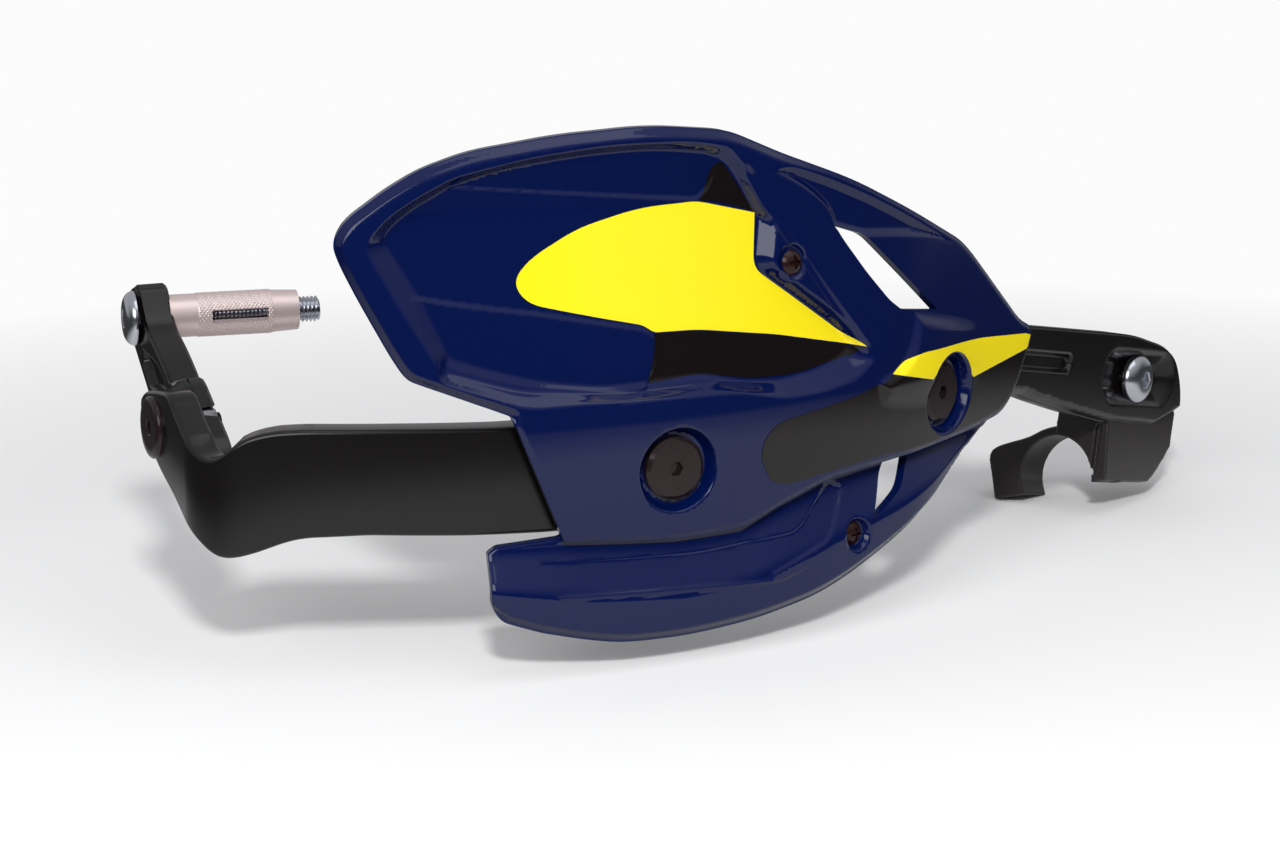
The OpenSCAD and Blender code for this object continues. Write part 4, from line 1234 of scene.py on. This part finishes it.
class HandGuardSizes(bpy.types.PropertyGroup):
    """Sizes and colours of the hand guard that a user may change"""
    shield_colour: FloatVectorProperty(
        name="Shield", description="Colour of both mouldings", subtype="COLOR_GAMMA",
        size=3, min=0, max=1, default=(0.008, 0.058, 0.238))
    shield_gloss: FloatProperty(
        name="Shield roughness", description="Roughness of the mouldings' gloss",
        subtype="FACTOR", min=0.02, max=0.6, default=0.09)
    yellow: FloatVectorProperty(
        name="Yellow decal", description="Colour of the yellow decals",
        subtype="COLOR_GAMMA", size=3, min=0, max=1, default=(0.925, 0.845, 0.1))
    black: FloatVectorProperty(
        name="Black decal", description="Colour of the black decals",
        subtype="COLOR_GAMMA", size=3, min=0, max=1, default=(0.06, 0.042, 0.045))
    wall: FloatProperty(
        name="Wall", description="Wall of both mouldings", unit="LENGTH",
        min=0.002, max=0.004, default=0.0028)
    mesh_step: FloatProperty(
        name="Mesh step", description="Spacing of the mouldings' mesh", unit="LENGTH",
        min=0.0005, max=0.003, default=0.0008)
    decal_proud: FloatProperty(
        name="Decal", description="How far the decals stand proud", unit="LENGTH",
        min=0.00005, max=0.0005, default=0.00016)


class MakeUpperShield(bpy.types.Operator):
    """Moulds the upper shield: wing, frame, strut and mid-body"""
    bl_idname = "hand_guard.upper_shield"
    bl_label = "Upper shield"

    def execute(self, context):
        sizes = context.scene.hand_guard
        wall = sizes.wall / MM
        outline = rounded(UPPER_OUTLINE)
        holes = [rounded(UPPER_VENT), ring(OUTER_BOLT, BUSH_HOLE), ring(INNER_BOLT, BUSH_HOLE),
                 ring(WING_SCREW, 2.3, 24)]
        piece = sheet("upper_shield_moulding", outline, holes, upper_folds(), upper_front,
                      lambda flat, ahead: ahead - wall, sizes.mesh_step / MM,
                      "navy_moulding", sharp=50)
        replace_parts(piece, "upper_shield")
        return {"FINISHED"}


class MakeLowerDeflector(bpy.types.Operator):
    """Moulds the lower deflector under the mid-body"""
    bl_idname = "hand_guard.lower_deflector"
    bl_label = "Lower deflector"

    def execute(self, context):
        sizes = context.scene.hand_guard
        wall = sizes.wall / MM
        outline = rounded(LOWER_OUTLINE)
        holes = [rounded(LOWER_VENT), ring(TAB_SCREW, 2.3, 24)]
        turn = rounded(TURN_LINE, closed=False)
        folds = [LOWER_LINES["panel"], *ramp_lines(STEP_PANEL, PANEL_RAMP), turn]
        folds += [shifted(turn, -width, closed=False) for width in (0.16, 0.64, TURN_RAMP)]
        folds += ramp_lines(LOWER_OUTLINE, lower_edge, 0.3)
        folds += [ring(TAB_SCREW, radius) for radius in (3.6, 4.1, 4.7, TAB_RADIUS)]
        piece = sheet("lower_deflector_moulding", outline, holes, folds, lower_front,
                      lambda flat, ahead: np.maximum(ahead - wall, -4.7),
                      sizes.mesh_step / MM, "navy_moulding", sharp=50)
        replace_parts(piece, "lower_deflector")
        return {"FINISHED"}


class MakeDecals(bpy.types.Operator):
    """Lays the plain decals on the upper shield"""
    bl_idname = "hand_guard.decals"
    bl_label = "Decals"

    def execute(self, context):
        sizes = context.scene.hand_guard
        proud = sizes.decal_proud / MM
        folds = upper_folds()
        for node, outlines in DECALS.items():
            slot = "yellow_decal" if "yellow" in node else "black_decal"
            for number, corners in enumerate(outlines):
                piece = sheet(f"{node}_{number + 1}", rounded(corners), [], folds,
                              lambda flat: upper_front(flat) + proud,
                              lambda flat, ahead: ahead - 2 * proud,
                              sizes.mesh_step / MM, slot)
                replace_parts(piece, node)
        return {"FINISHED"}


class MakeBar(bpy.types.Operator):
    """Bends the guard bar and cuts its paddle and the bar-end arm"""
    bl_idname = "hand_guard.bar"
    bl_label = "Bar and arm"

    def execute(self, context):
        piece = placed("bar_front_and_leg", *bar_mesh(), Matrix(), "black_bar", sharp=45)
        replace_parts(piece, "guard_bar")
        outline = rounded(PADDLE_OUTLINE)
        hole = ring(PADDLE_BOLT, 4.3)
        foot = np.array(PADDLE_FOOT, float)
        folds = [inset(PADDLE_OUTLINE, width) for width in (0.25, 0.55, PADDLE_EDGE)]
        folds += [shifted(foot, -width, closed=False) for width in (0.4, 2.3, FOOT_WIDTH)]
        folds += [stadium_line(*BOWL[:2], BOWL[2] - inward)
                  for inward in (0, 0.36, 0.54, BOWL_LIP, 4.3, BOWL_SLOPE)]
        folds += [stadium_line(*POCKET[:2], POCKET[2] - inward)
                  for inward in (0, 0.45, 0.85, POCKET_WALL)]
        paddle = sheet("bar_paddle", outline, [hole], folds,
                       paddle_front, paddle_back, 0.7, "black_bar", on_paddle, sharp=45)
        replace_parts(paddle, "guard_bar")
        arm = sheet("bar_end_arm_forged", rounded(ARM_OUTLINE),
                    [ring((0, 0), 4.2), ring(PIVOT, 3.2)],
                    [*(inset(ARM_OUTLINE, width) for width in (0.3, 0.6, ARM_EDGE)),
                     rounded(ARM_POCKET), *ramp_lines(ARM_POCKET, ARM_POCKET_WALL, 0.3),
                     ring(PIVOT, 4.5), ring(PIVOT, NUT_SEAT)], arm_outside, arm_inside,
                    0.7, "black_bar", on_arm, sharp=45)
        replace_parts(arm, "bar_end_arm")
        return {"FINISHED"}


class MakeAnchor(bpy.types.Operator):
    """Makes the bar-end anchor: bolt, knurled sleeve and wedge nut"""
    bl_idname = "hand_guard.anchor"
    bl_label = "Bar-end anchor"

    def execute(self, context):
        outside = ARM_INSIDE - ARM_THICK
        head = socket_head(dome(radius=8.4, height=3.8, face=4.0), across=5.0, depth=2.4)
        head = moved(head, (outside, 0, 0))
        shank = thread(radius=4.0, start=outside + 0.5, end=42.9, pitch=1.25)
        bolt = placed("anchor_bolt_turned", *joined(head, shank), Matrix(), "bright_bolt")
        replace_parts(bolt, "anchor_bolt")
        sleeve = placed("anchor_sleeve_knurled", *sleeve_mesh(), Matrix(), "plain_sleeve")
        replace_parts(sleeve, "anchor_sleeve")
        dress("anchor_wedge", 0.3)
        pivot = Matrix.Rotation(LEG_TURN, 4, "Z") @ Matrix.Translation(
            (0, -PIVOT[0] * MM, PIVOT[1] * MM))
        flat = [(1.7, 6.4), (1.7, 8.2), (1.35, 8.9), (0.8, 9.3), (0, 9.35), (-0.6, 9.2)]
        disc = moved(socket_head(flat, across=4.0, depth=1.8), (-LUG_OUTSIDE, 0, 0))
        screw = thread(radius=3.0, start=-LUG_OUTSIDE, end=ARM_INSIDE + 0.9, pitch=1.0)
        piece = placed("pivot_bolt_turned", *joined(disc, screw), pivot, "black_bolt")
        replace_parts(piece, "pivot_bolt")
        nut = hexagon_nut(across=8, height=4.6, hole=3.0)
        nut = moved(nut, (ARM_INSIDE - 5.2, 0, 0))
        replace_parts(placed("pivot_nut_turned", *nut, pivot, "dull_steel"), "pivot_nut")
        return {"FINISHED"}


class MakeClamp(bpy.types.Operator):
    """Carves the inner clamp and makes its bolt, washer and nut"""
    bl_idname = "hand_guard.clamp"
    bl_label = "Inner clamp"

    def execute(self, context):
        block = prism(BLOCK_OUTLINE, low=0, high=BLOCK_BACK, place=on_block)
        boss = prism(BOSS_OUTLINE, low=-PADDLE_THICK - 0.1, high=BLOCK_BACK, place=on_paddle)
        saddle = prism(rounded(SADDLE_OUTLINE, steps=3), low=-9.2, high=CLAMP_END,
                       place=on_clamp)
        bore = prism(ring((0, 0), CLAMP_RADIUS, 72), low=-20, high=CLAMP_END, place=on_clamp)
        relief = prism(ring((0, 0), CLAMP_RADIUS + 2.0, 72), low=7.4, high=60, place=on_clamp)
        cap_face = prism(BELOW_CLAMP, low=-40, high=80, place=on_clamp)
        groove = prism(GROOVE_OUTLINE, low=-4.6, high=-6.8, place=on_paddle)
        holes = [rod(CAP_SCREW_RADIUS, centre=(-0.3, y, 1.5), length=13, matrix=CLAMP)
                 for y in CAP_SCREWS]
        piece = carved("clamp_bracket_forged", block, [boss, saddle],
                       [bore, relief, cap_face, groove, *holes], "black_bracket")
        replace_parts(piece, "clamp_bracket")
        across = PADDLE @ Matrix.Translation((PADDLE_BOLT[0] * MM, 2.8 * MM,
                                              PADDLE_BOLT[1] * MM))
        across = across @ Matrix.Rotation(math.radians(90), 4, "Z")
        head = socket_head(dome(radius=8.7, height=4.8, face=4.0), across=5.0, depth=2.6)
        shank = thread(radius=4.0, start=0.2, end=29.2, pitch=1.25)
        bolt = placed("clamp_bolt_turned", *joined(head, shank), across, "bright_bolt")
        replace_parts(bolt, "clamp_bolt")
        flat = [(19.25, 4.3), (19.25, 8.3), (19.4, 8.5), (20.6, 8.5), (20.8, 8.3), (20.8, 4.3)]
        washer = placed("clamp_washer_turned", *turned(flat + flat[:1]), across, "dull_steel")
        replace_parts(washer, "clamp_washer")
        nut = moved(hexagon_nut(across=13, height=6.5, hole=4.0), (20.85, 0, 0))
        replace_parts(placed("clamp_nut_turned", *nut, across, "dull_steel"), "clamp_nut")
        return {"FINISHED"}


class DressFastenings(bpy.types.Operator):
    """Finishes the shield's bolts, nuts, bushes, screws and clips"""
    bl_idname = "hand_guard.fastenings"
    bl_label = "Fastenings"

    def execute(self, context):
        for node in ("outer_shield_bolt", "inner_shield_bolt"):
            dress(node, 0.15)
        for node in ("outer_shield_nut", "inner_shield_nut",
                     "outer_shield_bush", "inner_shield_bush"):
            dress(node, 0.2)
        for node in ("wing_screw", "tab_screw"):
            dress(node, 0.08)
        for node in ("wing_clip", "tab_clip"):
            dress(node, 0.1)
        return {"FINISHED"}


def lamp(name, place, aim, size, strength):
    """A soft white lamp of that size, in metres, aimed at a point."""
    data = bpy.data.lights.new(name, "AREA")
    data.shape = "RECTANGLE"
    data.size, data.size_y = size
    data.energy = strength * math.pi * size[0] * size[1]
    made = in_scene(name, data)
    made.location = place
    made.rotation_euler = (Vector(aim) - Vector(place)).to_track_quat("-Z", "Y").to_euler()
    return made


WHITE = (0.97, 0.97, 0.97, 1)


class MakeStage(bpy.types.Operator):
    """Makes the floor, the studio light and the camera"""
    bl_idname = "hand_guard.stage"
    bl_label = "Stage"

    def execute(self, context):
        self.floor()
        self.room()
        self.lamps()
        self.camera()
        context.scene.view_settings.view_transform = "Standard"
        return {"FINISHED"}

    def floor(self):
        """A pale floor that fades to white away from the guard, as the camera sees it, and has a
        painted pool of light round the guard, as reflections and bounced light see it.
        """
        mesh = bpy.data.meshes.new("floor")
        reach, level = 6.0, CAD_LOW[2] - 0.0005
        corners = [(-reach, -reach), (reach, -reach), (reach, reach), (-reach, reach)]
        mesh.from_pydata([(x, y, level) for x, y in corners], [], [(0, 1, 2, 3)])
        floor = in_scene("floor", mesh)
        material = bpy.data.materials.new("pale_floor")
        material.use_nodes = True
        tree = material.node_tree
        paint = tree.nodes["Principled BSDF"]
        paint.inputs["Roughness"].default_value = 0.7
        camera_ray = add_node(tree, "ShaderNodeLightPath").outputs["Is Camera Ray"]
        place = add_node(tree, "ShaderNodeTexCoord").outputs["Object"]
        apart = add_node(tree, "ShaderNodeVectorMath", {
            0: place, 1: (0.17, -0.06, level)}, operation="DISTANCE").outputs["Value"]
        away = add_node(tree, "ShaderNodeMapRange", {
            "Value": apart, "From Min": 0.28, "From Max": 0.56})
        seen = add_node(tree, "ShaderNodeMath", {
            0: away.outputs["Result"], 1: camera_ray}, operation="MULTIPLY")
        # Painted pool of light: to reflected and bounced rays the floor's colour is 0.6 near the
        # guard and falls to almost black further off, which darkens the floor that the guard's
        # gloss reflects
        painted_pool = add_node(tree, "ShaderNodeMapRange", {
            "Value": apart, "From Min": 0.25, "From Max": 0.38, "To Min": 0.6, "To Max": 0.02})
        pale = add_node(tree, "ShaderNodeMix", {
            "Factor": camera_ray, "A": painted_pool.outputs["Result"], "B": 0.86}, data_type="FLOAT")
        tree.links.new(pale.outputs["Result"], paint.inputs["Base Color"])
        white = add_node(tree, "ShaderNodeEmission", {"Color": WHITE})
        mix = add_node(tree, "ShaderNodeMixShader", {
            "Fac": seen.outputs["Value"], 1: paint.outputs["BSDF"],
            2: white.outputs["Emission"]})
        tree.links.new(mix.outputs["Shader"], tree.nodes["Material Output"].inputs["Surface"])
        mesh.materials.append(material)

    def room(self):
        """A white background for the camera, and a studio that is dark in front for gloss."""
        world = bpy.data.worlds.new("studio")
        bpy.context.scene.world = world
        world.use_nodes = True
        tree = world.node_tree
        place = add_node(tree, "ShaderNodeTexCoord").outputs["Generated"]
        split = add_node(tree, "ShaderNodeSeparateXYZ", {"Vector": place})
        height = add_node(tree, "ShaderNodeValToRGB", {"Fac": split.outputs["Z"]})
        low, high = height.color_ramp.elements
        low.position, low.color = 0.12, (0.05, 0.05, 0.055, 1)
        high.position, high.color = 0.7, (0.42, 0.425, 0.44, 1)
        depth = add_node(tree, "ShaderNodeMapRange", {
            "Value": split.outputs["Y"], "From Min": -0.1, "From Max": 0.5})
        around = add_node(tree, "ShaderNodeMix", {
            "Factor": depth.outputs["Result"], "A": height.outputs["Color"],
            "B": (0.42, 0.42, 0.43, 1)}, data_type="RGBA")
        path = add_node(tree, "ShaderNodeLightPath")
        shown = add_node(tree, "ShaderNodeMix", {
            "Factor": path.outputs["Is Camera Ray"], "A": around.outputs["Result"],
            "B": WHITE}, data_type="RGBA")
        background = tree.nodes["Background"]
        tree.links.new(shown.outputs["Result"], background.inputs["Color"])

    def lamps(self):
        """The lamps over the guard and in front of it."""
        aim = (0.16, -0.06, 0)
        lamp("overhead", (0.30, -0.40, 1.25), aim, (1.1, 0.9), 0.8)
        front = lamp("front", (-0.21, -1.35, 0.87), aim, (0.16, 0.16), 250)
        front.visible_glossy = False
        lamp("key", (-0.75, -1.15, 0.75), aim, (1.0, 0.8), 3.4)
        fill = lamp("fill", (0.95, -1.15, 0.3), aim, (0.8, 0.6), 2.0)
        fill.visible_glossy = False

    def camera(self):
        """Where the photograph was taken from, in the guard's own frame."""
        data = bpy.data.cameras.new("camera")
        data.sensor_width = 36
        data.lens = 102.5
        data.clip_start, data.clip_end = 0.05, 30
        camera = in_scene("camera", data)
        ahead = Vector((0.26857, 0.93662, -0.22495)).normalized()
        right = Vector((0.9613, -0.2756, 0)).normalized()
        up = right.cross(ahead)
        turn = Matrix((right, up, -ahead)).transposed().to_4x4()
        camera.matrix_world = Matrix.Translation((-0.1672, -1.0950, 0.2190)) @ turn
        bpy.context.scene.camera = camera


class HandGuardPanel(bpy.types.Panel):
    """Lists the hand guard's sizes and pieces"""
    bl_idname = "VIEW3D_PT_hand_guard"
    bl_label = "Hand guard"
    bl_space_type = "VIEW_3D"
    bl_region_type = "UI"
    bl_category = "Hand guard"

    def draw(self, context):
        sizes = context.scene.hand_guard
        for name in HandGuardSizes.__annotations__:
            self.layout.prop(sizes, name)
        for step in STEPS:
            self.layout.operator(step.bl_idname)


STEPS = (MakeStage, MakeUpperShield, MakeLowerDeflector, MakeDecals, MakeBar, MakeAnchor,
         MakeClamp, DressFastenings)
CLASSES = (HandGuardSizes, *STEPS, HandGuardPanel)


def register():
    """Adds the sizes, the operators and the panel."""
    for made in CLASSES:
        bpy.utils.register_class(made)
    bpy.types.Scene.hand_guard = PointerProperty(type=HandGuardSizes)


def unregister():
    """Takes them away again."""
    del bpy.types.Scene.hand_guard
    for made in reversed(CLASSES):
        bpy.utils.unregister_class(made)


def main():
    """Makes every piece."""
    register()
    for step in STEPS:
        group, name = step.bl_idname.split(".")
        getattr(getattr(bpy.ops, group), name)()


if __name__ == "__main__":
    main()
